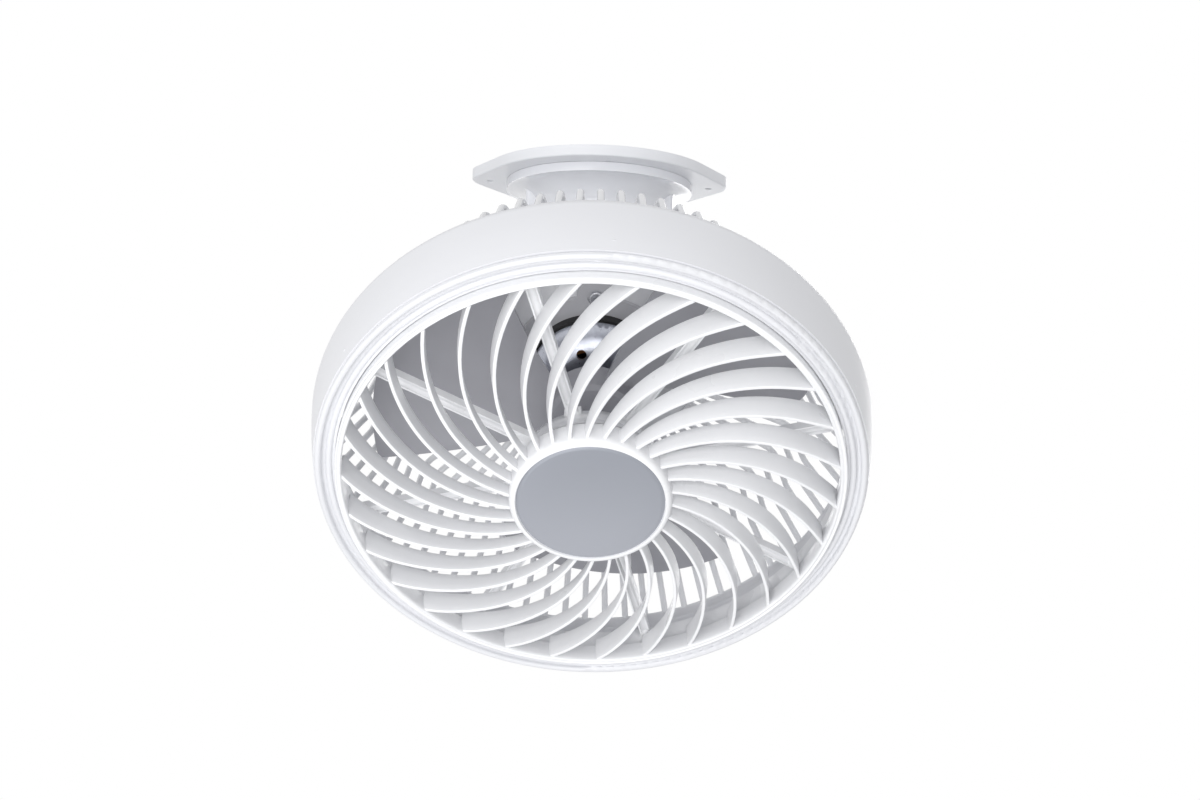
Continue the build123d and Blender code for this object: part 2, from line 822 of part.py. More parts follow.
# Grille motor: a small geared synchronous motor screwed into the carrier's cup by its two ears
grille_motor_front = cup_floor - grille_motor_height
gear_boss_front = grille_motor_front - gear_boss_height
with BuildPart() as grille_motor:
    with BuildSketch(head.offset(cup_floor)) as motor_outline:
        Circle(grille_motor_radius)
    extrude(amount=-grille_motor_height)
    chamfer(grille_motor.edges().group_by(head_axis)[0], motor_ear_thickness / 2)
    with BuildSketch(head.offset(grille_motor_front)) as gear_boss:
        Circle(gear_boss_radius)
    extrude(amount=-gear_boss_height)
    with BuildSketch(head.offset(cup_floor)) as motor_ears:
        Rectangle(2 * motor_ear_reach, motor_ear_width)
    extrude(amount=-motor_ear_thickness)
    with BuildSketch(head.offset(cup_floor)) as motor_ear_holes:
        with Locations(*motor_ear_places):
            Circle(small_screw_radius + screw_play)
    extrude(amount=-motor_ear_thickness, mode=Mode.SUBTRACT)
    with BuildSketch(head.offset(gear_boss_front)) as motor_bore:
        Circle(grille_shaft_radius + running_fit)
    extrude(amount=grille_shaft_end + face_play - gear_boss_front, mode=Mode.SUBTRACT)
finish(grille_motor, "grille_motor")

grille_motor_screws = pan_screws(
    head.offset(cup_floor - motor_ear_thickness),
    motor_ear_places,
    small_head_radius,
    small_head_height,
    small_screw_radius,
    motor_ear_thickness + cup_wall + ear_boss_height,
)
finish(grille_motor_screws, "grille_motor_screws")


# Front grille: curved slats between a ring and a hub, all one moulding
def slat_share(radius):
    """How far a radius lies inwards, from 0 at the slats' tips to 1 at the hub."""
    return (opening_radius - radius) / (opening_radius - grille_hub_radius)


def blend(rim, middle, hub, share):
    """Quadratic through the rim, middle and hub values."""
    bow = 2 * rim - 4 * middle + 2 * hub
    return rim + (hub - rim - bow) * share + bow * share**2


def slat_front(radius):
    """Depth of the slats' front edges."""
    return -slat_dish * sqrt(max(slat_share(radius), 0))


def slat_depth(radius):
    """Depth of a slat from its front edge to its rear edge."""
    return blend(slat_rim_depth, slat_middle_depth, slat_hub_depth, slat_share(radius))


def slat_point(radius, depth, side):
    """Point on one side of a slat, in the plane at a depth."""
    share = slat_share(radius)
    sweep = slat_sweep * share + slat_bow * share * (1 - share)
    lean = blend(slat_rim_lean, slat_middle_lean, slat_hub_lean, share)
    twist = lean * (depth - slat_front(radius)) / slat_depth(radius)
    slope = radians(slat_sweep + slat_bow * (1 - 2 * share)) / (opening_radius - grille_hub_radius)
    half_turn = degrees(slat_thickness / 2 / radius * sqrt(1 + (radius * slope) ** 2))
    return polar(radius, twist - sweep + side * half_turn)


slat_outer = opening_radius + grille_ring_width / 2
slat_inner = grille_hub_radius - grille_hub_wall / 2
slat_stations = [slat_inner + (slat_outer - slat_inner) * k / 5 for k in range(6)]
with BuildPart() as slat:
    for depth in (-slat_dish - slat_thickness, slat_rim_depth + slat_thickness):
        with BuildSketch(Plane.XY.offset(depth)) as slat_band:
            with BuildLine():
                near = Spline(*[slat_point(radius, depth, -1) for radius in slat_stations])
                far = Spline(*[slat_point(radius, depth, 1) for radius in slat_stations])
                Line(near @ 0, far @ 0)
                Line(near @ 1, far @ 1)
            make_face()
    loft(ruled=True)
    with BuildSketch(Plane.XZ) as slat_envelope:
        with BuildLine():
            front = Spline(*[(radius, slat_front(radius)) for radius in slat_stations])
            rear = Spline(
                *[(radius, slat_front(radius) + slat_depth(radius)) for radius in slat_stations]
            )
            Line(front @ 0, rear @ 0)
            Line(front @ 1, rear @ 1)
        make_face()
    revolve(axis=Axis.Z, mode=Mode.INTERSECT)

badge_seat = grille_hub_front + badge_recess
hub_floor = badge_seat + grille_hub_wall
hub_boss_end = gear_boss_front - face_play
with BuildPart(head) as swirl_grille:
    with PolarLocations(0, slat_count, start_angle=slat_start_angle):
        add(slat.part)
    with BuildSketch(head_section) as grille_ring:
        with BuildLine():
            ring_round = grille_ring_width / 2
            ring_middle = opening_radius + ring_round
            ring_outer = opening_radius + grille_ring_width
            ring_shoulder = grille_ring_front + ring_round
            ThreePointArc((opening_radius, ring_shoulder), (ring_middle, grille_ring_front),
                          (ring_outer, ring_shoulder))
            Polyline(
                (ring_outer, ring_shoulder),
                (ring_outer, grille_ring_depth),
                (ring_outer - grille_hub_wall, grille_ring_depth),
                (opening_radius, ring_shoulder),
            )
        make_face()
    revolve(axis=head_axis)
    with BuildSketch(head_section) as hub_profile:
        with BuildLine():
            Polyline(
                (0, badge_seat),
                (badge_radius + seat_gap, badge_seat),
                (badge_radius + seat_gap, grille_hub_front),
                (badge_radius + grille_hub_wall, grille_hub_front),
                (grille_hub_radius, grille_hub_front + grille_hub_wall),
                (grille_hub_radius, grille_hub_rear),
                (grille_hub_radius - grille_hub_wall, grille_hub_rear),
                (grille_hub_radius - grille_hub_wall, hub_floor),
                (hub_boss_radius, hub_floor),
                (hub_boss_radius, hub_boss_end),
                (0, hub_boss_end),
                close=True,
            )
        make_face()
    revolve(axis=head_axis)
    with BuildSketch(head.offset(hub_boss_end)) as hub_bore:
        Circle(grille_shaft_radius + seat_gap)
    extrude(amount=grille_shaft_tip - hub_boss_end, mode=Mode.SUBTRACT)
    with BuildSketch(head.offset(badge_seat)) as hub_screw_hole:
        Circle(grille_screw_radius + screw_play)
    extrude(amount=hub_boss_end - badge_seat, mode=Mode.SUBTRACT)
    with BuildSketch(head.offset(badge_seat)) as hub_screw_sink:
        Circle(grille_screw_head_radius + screw_play)
    extrude(amount=grille_screw_head_height, mode=Mode.SUBTRACT)
finish(swirl_grille, "swirl_grille")

with BuildPart() as badge_disc:
    with BuildSketch(head.offset(badge_seat)) as badge_outline:
        Circle(badge_radius)
    extrude(amount=-badge_thickness)
    fillet(badge_disc.edges().group_by(head_axis)[0], badge_thickness / 2)
finish(badge_disc, "badge_disc")

screw_seat = badge_seat + grille_screw_head_height
with BuildPart() as grille_shaft:
    with BuildSketch(head.offset(grille_shaft_tip)) as grille_shaft_outline:
        Circle(grille_shaft_radius)
    extrude(amount=grille_shaft_end - grille_shaft_tip)
    with BuildSketch(head.offset(grille_shaft_tip)) as shaft_thread:
        Circle(grille_screw_radius + seat_gap)
    extrude(amount=screw_seat + grille_screw_length - grille_shaft_tip + seat_gap, mode=Mode.SUBTRACT)
finish(grille_shaft, "grille_shaft")

grille_screw = pan_screws(
    head.offset(screw_seat),
    [(0, 0)],
    grille_screw_head_radius,
    grille_screw_head_height - seat_gap,
    grille_screw_radius,
    grille_screw_length,
)
finish(grille_screw, "grille_screw")


# Rear guard: a flange on the drum, 72 bent ribs and an inner ring behind the motor plate
guard_hub_front = motor_plate_front + motor_plate_thickness
guard_hub_back = guard_hub_front + guard_hub_thickness
cover_screw_places = around(motor_plate_radius, lobe_count, 0)
with BuildPart() as rib:
    with BuildSketch(Plane.XZ) as rib_side:
        with BuildLine():
            FilletPolyline(
                (rib_start_radius, guard_seat + guard_flange_thickness / 2),
                (shoulder_radius, shoulder_depth),
                (guard_hub_radius - rib_thickness, guard_hub_front + guard_hub_thickness / 2),
                radius=shoulder_round,
            )
        trace(line_width=rib_thickness)
    extrude(amount=rib_width / 2, both=True)
with BuildPart(head) as rear_guard:
    with PolarLocations(0, rib_count):
        add(rib.part)
    with BuildSketch(head.offset(guard_seat)) as guard_flange:
        Circle(drum_rim_radius - seat_gap)
        Circle(duct_rear_radius, mode=Mode.SUBTRACT)
    extrude(amount=guard_flange_thickness)
    with BuildSketch(head.offset(guard_hub_front)) as guard_hub:
        Circle(guard_hub_radius)
    extrude(amount=guard_hub_thickness)
    with BuildSketch(head.offset(guard_hub_front - rib_thickness)) as guard_bore:
        Circle(guard_hub_bore)
    extrude(amount=2 * rib_thickness + guard_hub_thickness, mode=Mode.SUBTRACT)
    with BuildSketch(head.offset(guard_hub_front)) as plate_seat:
        Circle(guard_hub_radius)
    extrude(amount=-rib_thickness, mode=Mode.SUBTRACT)
    with BuildSketch(head.offset(guard_hub_back)) as cover_seat:
        Circle(cover_radius + face_play)
    extrude(amount=rib_thickness, mode=Mode.SUBTRACT)
    with BuildSketch(head.offset(guard_hub_front)) as guard_hub_holes:
        with Locations(*cover_screw_places):
            Circle(cover_screw_radius + screw_play)
    extrude(amount=guard_hub_thickness, mode=Mode.SUBTRACT)
    with BuildSketch(head.offset(guard_seat)) as flange_holes:
        with Locations(*guard_screw_places):
            Circle(small_screw_radius + screw_play)
    extrude(amount=guard_flange_thickness, mode=Mode.SUBTRACT)
finish(rear_guard, "rear_guard")

guard_screws = pan_screws(
    Plane(origin=head.offset(drum_depth).origin, x_dir=head.x_dir, z_dir=-head.z_dir),
    [(x, -y) for x, y in guard_screw_places],
    guard_head_radius,
    guard_head_height,
    small_screw_radius,
    guard_screw_length,
)
finish(guard_screws, "guard_screws")

# Motor plate: round plate with four screw lobes, in front of the guard's inner ring
with BuildPart() as motor_plate:
    with BuildSketch(head.offset(motor_plate_front)) as motor_plate_outline:
        Circle(motor_plate_radius)
        with Locations(*cover_screw_places):
            Circle(lobe_radius)
        Circle(motor_plate_bore, mode=Mode.SUBTRACT)
        with Locations(*cover_screw_places):
            Circle(cover_screw_radius + screw_play, mode=Mode.SUBTRACT)
    extrude(amount=motor_plate_thickness)
    with BuildSketch(head.offset(motor_plate_front)) as lobe_recesses:
        with Locations(*cover_screw_places):
            Circle(lobe_recess_radius)
    extrude(amount=lobe_recess_depth, mode=Mode.SUBTRACT)
    motor_screw_places = around(motor_screw_circle, lobe_count, 45)
    with BuildSketch(head.offset(guard_hub_front)) as motor_screw_holes:
        with Locations(*motor_screw_places):
            Circle(small_screw_radius + screw_play)
    extrude(amount=-motor_plate_thickness + face_play, mode=Mode.SUBTRACT)
finish(motor_plate, "motor_plate")

cover_screws = pan_screws(
    head.offset(motor_plate_front + lobe_recess_depth),
    cover_screw_places,
    cover_head_radius,
    cover_head_height,
    cover_screw_radius,
    cover_screw_length,
)
finish(cover_screws, "cover_screws")

# Motor: domed front shell, laminated core, deep rear shell with a flange, bushes and bolts
stator_front = shell_front_rim
stator_back = stator_front + stator_length
motor_bolt_places = around(motor_bolt_circle, lobe_count, 45)
house_radius = bush_radius + seat_gap + bush_house_wall
front_house = bush_front - seat_gap
dome_inner = shell_radius - shell_wall
with BuildPart() as motor_front_shell:
    with BuildSketch(head_section) as dome_profile:
        with BuildLine():
            dome_bulge = (
                (shell_radius + dome_flat_radius) / 2 + dome_bulge_out,
                (dome_front + dome_shoulder) / 2 - dome_bulge_forward,
            )
            Line((shell_radius, shell_front_rim), (shell_radius, dome_shoulder))
            ThreePointArc(
                (shell_radius, dome_shoulder), dome_bulge, (dome_flat_radius, dome_front)
            )
            Polyline(
                (dome_flat_radius, dome_front),
                (house_radius, dome_front),
                (house_radius, front_house - shell_wall),
                (0, front_house - shell_wall),
                (0, shell_front_rim),
                (shell_radius, shell_front_rim),
            )
        make_face()
    revolve(axis=head_axis)
    with BuildSketch(head_section) as dome_hollow:
        with BuildLine():
            Line((dome_inner, shell_front_rim), (dome_inner, dome_shoulder))
            ThreePointArc(
                (dome_inner, dome_shoulder),
                (dome_bulge[0] - shell_wall / 2, dome_bulge[1] + shell_wall),
                (dome_flat_radius, dome_front + shell_wall),
            )
            Polyline(
                (dome_flat_radius, dome_front + shell_wall),
                (house_radius, dome_front + shell_wall),
                (house_radius, bush_front + bush_length),
                (0, bush_front + bush_length),
                (0, shell_front_rim),
                (dome_inner, shell_front_rim),
            )
        make_face()
    revolve(axis=head_axis, mode=Mode.SUBTRACT)
    with BuildSketch(head.offset(shell_front_rim)) as bolt_bosses:
        with Locations(*motor_bolt_places):
            Circle(motor_bolt_boss_radius)
    extrude(amount=motor_bolt_tip - shell_front_rim)
    with BuildSketch(head.offset(front_house)) as bush_seat:
        Circle(bush_radius + seat_gap)
    extrude(amount=bush_length + 2 * seat_gap, mode=Mode.SUBTRACT)
    with BuildSketch(head.offset(front_house)) as shaft_hole:
        Circle(shaft_radius + screw_play)
    extrude(amount=-shell_wall, mode=Mode.SUBTRACT)
    with BuildSketch(head.offset(shell_front_rim)) as boss_threads:
        with Locations(*motor_bolt_places):
            Circle(motor_bolt_radius + seat_gap)
    extrude(amount=motor_bolt_tip + shell_wall - shell_front_rim, mode=Mode.SUBTRACT)
finish(motor_front_shell, "motor_front_shell")

with BuildPart() as stator_core:
    with BuildSketch(head.offset(stator_front)) as lamination:
        Circle(stator_radius)
        Circle(stator_bore, mode=Mode.SUBTRACT)
        with PolarLocations(stator_bore + (slot_depth - slot_width) / 2, slot_count):
            SlotOverall(slot_depth, slot_width, mode=Mode.SUBTRACT)
        with Locations(*motor_bolt_places):
            Circle(motor_bolt_radius + screw_play, mode=Mode.SUBTRACT)
    extrude(amount=stator_length)
finish(stator_core, "stator_core")

with BuildPart() as stator_windings:
    for depth in (stator_front - front_winding_length, stator_back):
        length = front_winding_length if depth < stator_front else rear_winding_length
        with BuildSketch(head.offset(depth)) as coil:
            Circle(winding_outer_radius)
            Circle(winding_inner_radius, mode=Mode.SUBTRACT)
        extrude(amount=length)
    fillet(stator_windings.edges().group_by(head_axis)[0], slot_width / 2)
    fillet(stator_windings.edges().group_by(head_axis)[-1], slot_width / 2)
finish(stator_windings, "stator_windings")

# Black rubber ring between the core and the motor plate's bore
with BuildPart() as motor_ring:
    with BuildSketch(head.offset(shell_front_rim + shell_wall)) as ring_section:
        Circle(motor_plate_bore - seat_gap)
        Circle(stator_radius + seat_gap, mode=Mode.SUBTRACT)
    extrude(amount=guard_hub_front - seat_gap - shell_front_rim - shell_wall)
finish(motor_ring, "motor_ring")

cup_inner = stator_radius + seat_gap
cup_outer = cup_inner + shell_wall
rear_house = rear_bush_front + bush_length + seat_gap
with BuildPart() as motor_rear_shell:
    with BuildSketch(head_section) as cup_profile_outer:
        with BuildLine():
            Line((cup_outer, guard_hub_front), (cup_outer, rear_cup_depth))
            ThreePointArc(
                (cup_outer, rear_cup_depth),
                ((cup_outer + rear_flat_radius) / 2 + shell_wall * 2,
                 (rear_cup_depth + rear_shell_back) / 2 + shell_wall),
                (rear_flat_radius, rear_shell_back),
            )
            Polyline(
                (rear_flat_radius, rear_shell_back),
                (house_radius, rear_shell_back),
                (house_radius, rear_house + shell_wall),
                (0, rear_house + shell_wall),
                (0, guard_hub_front),
                (cup_outer, guard_hub_front),
            )
        make_face()
    revolve(axis=head_axis)
    with BuildSketch(head_section) as cup_profile_inner:
        with BuildLine():
            Line((cup_inner, guard_hub_front), (cup_inner, rear_cup_depth))
            ThreePointArc(
                (cup_inner, rear_cup_depth),
                ((cup_inner + rear_flat_radius) / 2 + shell_wall * 1.5,
                 (rear_cup_depth + rear_shell_back) / 2),
                (rear_flat_radius, rear_shell_back - shell_wall),
            )
            Polyline(
                (rear_flat_radius, rear_shell_back - shell_wall),
                (house_radius, rear_shell_back - shell_wall),
                (house_radius, rear_bush_front),
                (0, rear_bush_front),
                (0, guard_hub_front),
                (cup_inner, guard_hub_front),
            )
        make_face()
    revolve(axis=head_axis, mode=Mode.SUBTRACT)
    with BuildSketch(head.offset(guard_hub_front)) as shell_flange:
        Circle(shell_flange_radius)
        Circle(cup_inner, mode=Mode.SUBTRACT)
        with Locations(*motor_screw_places):
            Circle(small_screw_radius + screw_play, mode=Mode.SUBTRACT)
    extrude(amount=shell_wall)
    with BuildSketch(head.offset(stator_back + seat_gap)) as rear_bolt_bosses:
        with Locations(*motor_bolt_places):
            Circle(rear_bolt_boss_radius)
    extrude(amount=rear_shell_back - stator_back - seat_gap)
    with BuildSketch(head.offset(rear_bush_front)) as rear_bush_seat:
        Circle(bush_radius + seat_gap)
    extrude(amount=bush_length + seat_gap, mode=Mode.SUBTRACT)
    with BuildSketch(head.offset(stator_back)) as rear_bolt_holes:
        with Locations(*motor_bolt_places):
            Circle(motor_bolt_radius + screw_play)
    extrude(amount=rear_shell_back - stator_back, mode=Mode.SUBTRACT)
finish(motor_rear_shell, "motor_rear_shell")

with BuildPart() as front_bush:
    with BuildSketch(head.offset(bush_front)) as front_bush_section:
        Circle(bush_radius)
        Circle(shaft_radius + running_fit, mode=Mode.SUBTRACT)
    extrude(amount=bush_length)
finish(front_bush, "front_bush")

with BuildPart() as rear_bush:
    with BuildSketch(head.offset(rear_bush_front)) as rear_bush_section:
        Circle(bush_radius)
        Circle(shaft_radius + running_fit, mode=Mode.SUBTRACT)
    extrude(amount=bush_length)
finish(rear_bush, "rear_bush")

# Long bolts hold the two shells together through the core
motor_bolts = pan_screws(
    Plane(origin=head.offset(rear_shell_back).origin, x_dir=head.x_dir, z_dir=-head.z_dir),
    [(x, -y) for x, y in motor_bolt_places],
    motor_bolt_head_radius,
    motor_bolt_head_height,
    motor_bolt_radius,
    rear_shell_back - motor_bolt_tip - 2 * shell_wall,
)
finish(motor_bolts, "motor_bolts")

flange_back = guard_hub_front + shell_wall
motor_screws = pan_screws(
    Plane(origin=head.offset(flange_back).origin, x_dir=head.x_dir, z_dir=-head.z_dir),
    [(x, -y) for x, y in motor_screw_places],
    small_head_radius,
    small_head_height,
    small_screw_radius,
    motor_screw_length,
)
finish(motor_screws, "motor_screws")

# Motor cover: a bowl with cooling slots, four screw bosses and the two lugs of the tilt hinge
side_top = guard_hub_back + cover_side
bulge_share = 1 / sqrt(2)
bulge = (
    cover_flat_radius + (cover_radius - cover_flat_radius) * bulge_share,
    side_top + (cover_back - side_top) * bulge_share,
)
inner_bulge = (bulge[0] - cover_wall * bulge_share, bulge[1] - cover_wall * bulge_share)
inner_back = cover_back - cover_wall
lug_inner = lug_outer - lug_thickness
lug_plane = Plane(origin=head.origin, x_dir=head.z_dir, z_dir=head.x_dir)
tube_radius = bolt_radius + running_fit + lug_tube_wall
with BuildPart() as motor_cover:
    with BuildSketch(head_section) as bowl:
        with BuildLine():
            Polyline(
                (cover_flat_radius, cover_back),
                (0, cover_back),
                (0, inner_back),
                (cover_flat_radius, inner_back),
            )
            ThreePointArc(
                (cover_flat_radius, inner_back), inner_bulge, (cover_radius - cover_wall, side_top)
            )
            Polyline(
                (cover_radius - cover_wall, side_top),
                (cover_radius - cover_wall, guard_hub_back),
                (cover_radius, guard_hub_back),
                (cover_radius, side_top),
            )
            ThreePointArc((cover_radius, side_top), bulge, (cover_flat_radius, cover_back))
        make_face()
    revolve(axis=head_axis)
    with BuildSketch(head.offset(guard_hub_back)) as cover_bosses:
        with Locations(*cover_screw_places):
            Circle(cover_boss_radius)
    extrude(until=Until.NEXT)
    with BuildSketch(head.offset(guard_hub_back)) as cover_boss_holes:
        with Locations(*cover_screw_places):
            Circle(cover_screw_radius + screw_play)
    extrude(amount=cover_boss_length, mode=Mode.SUBTRACT)
    with BuildSketch(head.offset(side_top)) as vents:
        with PolarLocations(vent_circle, vent_count, start_angle=180 / vent_count):
            SlotOverall(vent_length, vent_width)
    extrude(amount=cover_back, mode=Mode.SUBTRACT)
    for side in (-1, 1):
        with BuildSketch(lug_plane.offset(side * lug_inner)) as lug:
            with Locations((pivot_depth, 0)):
                Circle(lug_radius)
            with Locations(((pivot_depth + inner_back) / 2, 0)):
                Rectangle(pivot_depth - inner_back, 2 * lug_radius)
        extrude(amount=side * lug_thickness)
    with BuildSketch(lug_plane) as hinge_tube:
        with Locations((pivot_depth, 0)):
            Circle(tube_radius)
    extrude(amount=lug_inner, both=True)
    with BuildSketch(lug_plane) as hinge_bore:
        with Locations((pivot_depth, 0)):
            Circle(bolt_radius + running_fit)
    extrude(amount=lug_outer, both=True, mode=Mode.SUBTRACT)
    with BuildSketch(head.offset(inner_back)) as cable_hole:
        Circle(grommet_hole_radius)
    extrude(amount=cover_wall, mode=Mode.SUBTRACT)
finish(motor_cover, "motor_cover")

cover_grommet = grommet(head.offset(cover_back), cover_wall)
finish(cover_grommet, "cover_grommet")

# Blade wheel: a ruled blade trimmed to its outline, three times round a hub
blade_first = trailing_root_angle - blade_margin
blade_last = leading_tip_angle + blade_margin
blade_stations = [blade_first + (blade_last - blade_first) * k / 4 for k in range(5)]


def blade_depth(angle, low_angle, high_angle, low, high):
    """Depth of the blade's surface, rising evenly from its trailing to its leading edge."""
    return low + (high - low) * (angle - low_angle) / (high_angle - low_angle)


blade_root = hub_radius - hub_wall / 2
blade_reach = blade_tip_radius + blade_thickness
with BuildPart() as blade:
    for angle in blade_stations:
        along = (cos(radians(angle)), sin(radians(angle)), 0)
        across = (sin(radians(angle)), -cos(radians(angle)), 0)
        root = blade_depth(angle, trailing_root_angle, leading_root_angle,
                           root_trailing_depth, root_leading_depth)
        tip = blade_depth(angle, trailing_tip_angle, leading_tip_angle,
                          tip_trailing_depth, tip_leading_depth)
        with BuildSketch(Plane(origin=(0, 0, 0), x_dir=along, z_dir=across)) as blade_section:
            with BuildLine():
                Polyline(
                    (blade_root, root),
                    (blade_reach, tip),
                    (blade_reach, tip + blade_thickness),
                    (blade_root, root + blade_thickness),
                    close=True,
                )
            make_face()
    loft()
    with BuildSketch(Plane.XY.offset(tip_trailing_depth / 2)) as blade_outline:
        with BuildLine():
            trailing_root = polar(blade_root, trailing_root_angle)
            trailing_tip = polar(blade_tip_radius, trailing_tip_angle)
            leading_tip = polar(blade_tip_radius, leading_tip_angle)
            leading_root = polar(blade_root, leading_root_angle)
            middle_radius = (blade_root + blade_tip_radius) / 2
            trailing_middle_angle = (trailing_root_angle + trailing_tip_angle) / 2 + trailing_bow
            leading_middle_angle = (leading_root_angle + leading_tip_angle) / 2 + leading_bow
            trailing_middle = polar(middle_radius, trailing_middle_angle)
            leading_middle = polar(middle_radius, leading_middle_angle)
            ThreePointArc(trailing_root, trailing_middle, trailing_tip)
            tip_middle = polar(blade_tip_radius, (trailing_tip_angle + leading_tip_angle) / 2)
            ThreePointArc(trailing_tip, tip_middle, leading_tip)
            ThreePointArc(leading_tip, leading_middle, leading_root)
            Line(leading_root, trailing_root)
        make_face()
        corner = blade_outline.vertices().sort_by_distance(leading_tip)[0]
        fillet(corner, blade_corner_round)
    extrude(amount=2 * tip_leading_depth, mode=Mode.INTERSECT)

with BuildPart(head) as fan_blades:
    with PolarLocations(0, blade_count):
        add(blade.part)
    with BuildSketch(head_section) as hub_section:
        with BuildLine():
            Polyline(
                (0, hub_front),
                (hub_radius - hub_edge, hub_front),
                (hub_radius, hub_front + hub_edge),
                (hub_radius, hub_rear),
                (hub_radius - hub_wall, hub_rear),
                (hub_radius - hub_wall, hub_front + hub_wall),
                (shaft_boss_radius, hub_front + hub_wall),
                (shaft_boss_radius, hub_rear),
                (0, hub_rear),
                close=True,
            )
        make_face()
    revolve(axis=head_axis)
    with BuildSketch(head.offset(hub_front)) as hub_bore_round:
        Circle(shaft_radius + seat_gap)
    extrude(amount=hub_rear - hub_front, mode=Mode.SUBTRACT)
    with BuildSketch(head.offset(hub_rear)) as pin_slot:
        Rectangle(2 * shaft_boss_radius, 2 * pin_radius + 2 * seat_gap)
    extrude(amount=-2 * pin_radius - seat_gap, mode=Mode.SUBTRACT)
finish(fan_blades, "fan_blades")

pin_depth = hub_rear - pin_radius
pin_plane = Plane(origin=head.offset(pin_depth).origin, x_dir=head.z_dir, z_dir=head.x_dir)
with BuildPart() as motor_shaft:
    with BuildSketch(head.offset(shaft_front)) as shaft_outline:
        Circle(shaft_radius)
    extrude(amount=shaft_rear - shaft_front)
    chamfer(motor_shaft.edges().group_by(head_axis)[0], shaft_radius / 5)
    with BuildSketch(pin_plane) as shaft_cross_hole:
        Circle(pin_radius + seat_gap)
    extrude(amount=2 * shaft_radius, both=True, mode=Mode.SUBTRACT)
finish(motor_shaft, "motor_shaft")

with BuildPart() as drive_pin:
    with BuildSketch(pin_plane) as pin_section:
        Circle(pin_radius)
    extrude(amount=pin_length / 2, both=True)
finish(drive_pin, "drive_pin")

with BuildPart() as blade_nut:
    with BuildSketch(head.offset(hub_front - seat_gap)) as nut_section:
        RegularPolygon(nut_across_flats / 2, 6, major_radius=False)
        Circle(shaft_radius + seat_gap, mode=Mode.SUBTRACT)
    extrude(amount=-nut_height)
finish(blade_nut, "blade_nut")

with BuildPart() as rotor_core:
    with BuildSketch(head.offset(stator_front)) as rotor_section:
        Circle(stator_bore - rotor_gap)
        Circle(shaft_radius + seat_gap, mode=Mode.SUBTRACT)
    extrude(amount=stator_length)
finish(rotor_core, "rotor_core")

# Thrust washers between the bushes and the shaft's collar rings
washer_depths = (
    front_house - shell_wall - face_play - shaft_washer_thickness,
    bush_front + bush_length + face_play,
    rear_bush_front - face_play - shaft_washer_thickness,
)
with BuildPart() as shaft_washers:
    for depth in washer_depths:
        with BuildSketch(head.offset(depth)) as shaft_washer:
            Circle(shaft_washer_radius)
            Circle(shaft_radius + seat_gap, mode=Mode.SUBTRACT)
        extrude(amount=shaft_washer_thickness)
finish(shaft_washers, "shaft_washers")
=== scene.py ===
import math
import bpy
from mathutils import Matrix, Vector


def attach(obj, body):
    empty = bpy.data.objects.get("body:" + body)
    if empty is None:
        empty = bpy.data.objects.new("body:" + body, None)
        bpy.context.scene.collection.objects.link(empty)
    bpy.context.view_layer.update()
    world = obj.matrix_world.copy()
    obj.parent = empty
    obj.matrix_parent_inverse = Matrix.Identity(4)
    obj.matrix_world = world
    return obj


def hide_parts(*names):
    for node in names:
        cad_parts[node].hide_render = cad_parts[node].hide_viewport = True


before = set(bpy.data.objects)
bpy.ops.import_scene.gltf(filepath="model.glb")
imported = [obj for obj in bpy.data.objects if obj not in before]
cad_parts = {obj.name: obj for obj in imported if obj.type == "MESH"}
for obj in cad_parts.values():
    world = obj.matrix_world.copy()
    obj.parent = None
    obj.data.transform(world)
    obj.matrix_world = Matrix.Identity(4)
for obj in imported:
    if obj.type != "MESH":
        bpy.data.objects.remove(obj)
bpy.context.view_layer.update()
scene = bpy.context.scene
scene.view_settings.view_transform = "Standard"


# Base plate. A lozenge tray of white moulded plastic that lies on the ceiling, held by two wood
# screws near its ends. Its rim is rounded on the underside, and the moulding skin is faintly pebbled.
def added(tree, kind, values, sources):
    """A new node of a kind in a tree, its inputs set to values or fed by other nodes' outputs."""
    node = tree.nodes.new(kind)
    for socket, value in values.items():
        node.inputs[socket].default_value = value
    for socket, source in sources.items():
        tree.links.new(source, node.inputs[socket])
    return node


def started(name, values):
    """A new material whose shader has these values, and the coordinates that its patterns follow."""
    material = bpy.data.materials.new(name)
    material.use_nodes = True
    shader = material.node_tree.nodes["Principled BSDF"]
    for socket, value in values.items():
        shader.inputs[socket].default_value = value
    place = added(material.node_tree, "ShaderNodeTexCoord", {}, {}).outputs["Object"]
    return material, place


def noise(material, place, scale, detail):
    """Soft noise with this many waves per metre."""
    values = {"Scale": scale, "Detail": detail}
    return added(material.node_tree, "ShaderNodeTexNoise", values, {"Vector": place}).outputs["Fac"]


def blended(material, pattern, darker, lighter, ends=(0.0, 1.0)):
    """Colours from darker to lighter as the pattern runs between the ends."""
    blend = added(material.node_tree, "ShaderNodeValToRGB", {}, {"Fac": pattern})
    first, last = blend.color_ramp.elements
    first.position, last.position = ends
    first.color = (*darker, 1)
    last.color = (*lighter, 1)
    return blend.outputs["Color"]


def toned(material, pattern, colour, darkest, lightest, ends):
    """One colour made darker and lighter by two factors, as the pattern runs between the ends."""
    lighter = [min(c * lightest, 1) for c in colour]
    return blended(material, pattern, [c * darkest for c in colour], lighter, ends)


def rescaled(material, pattern, ends, results=(0.0, 1.0)):
    """The pattern between two ends as a value between two results."""
    values = dict(zip(("From Min", "From Max", "To Min", "To Max"), (*ends, *results)))
    return added(material.node_tree, "ShaderNodeMapRange", values, {"Value": pattern}).outputs["Result"]


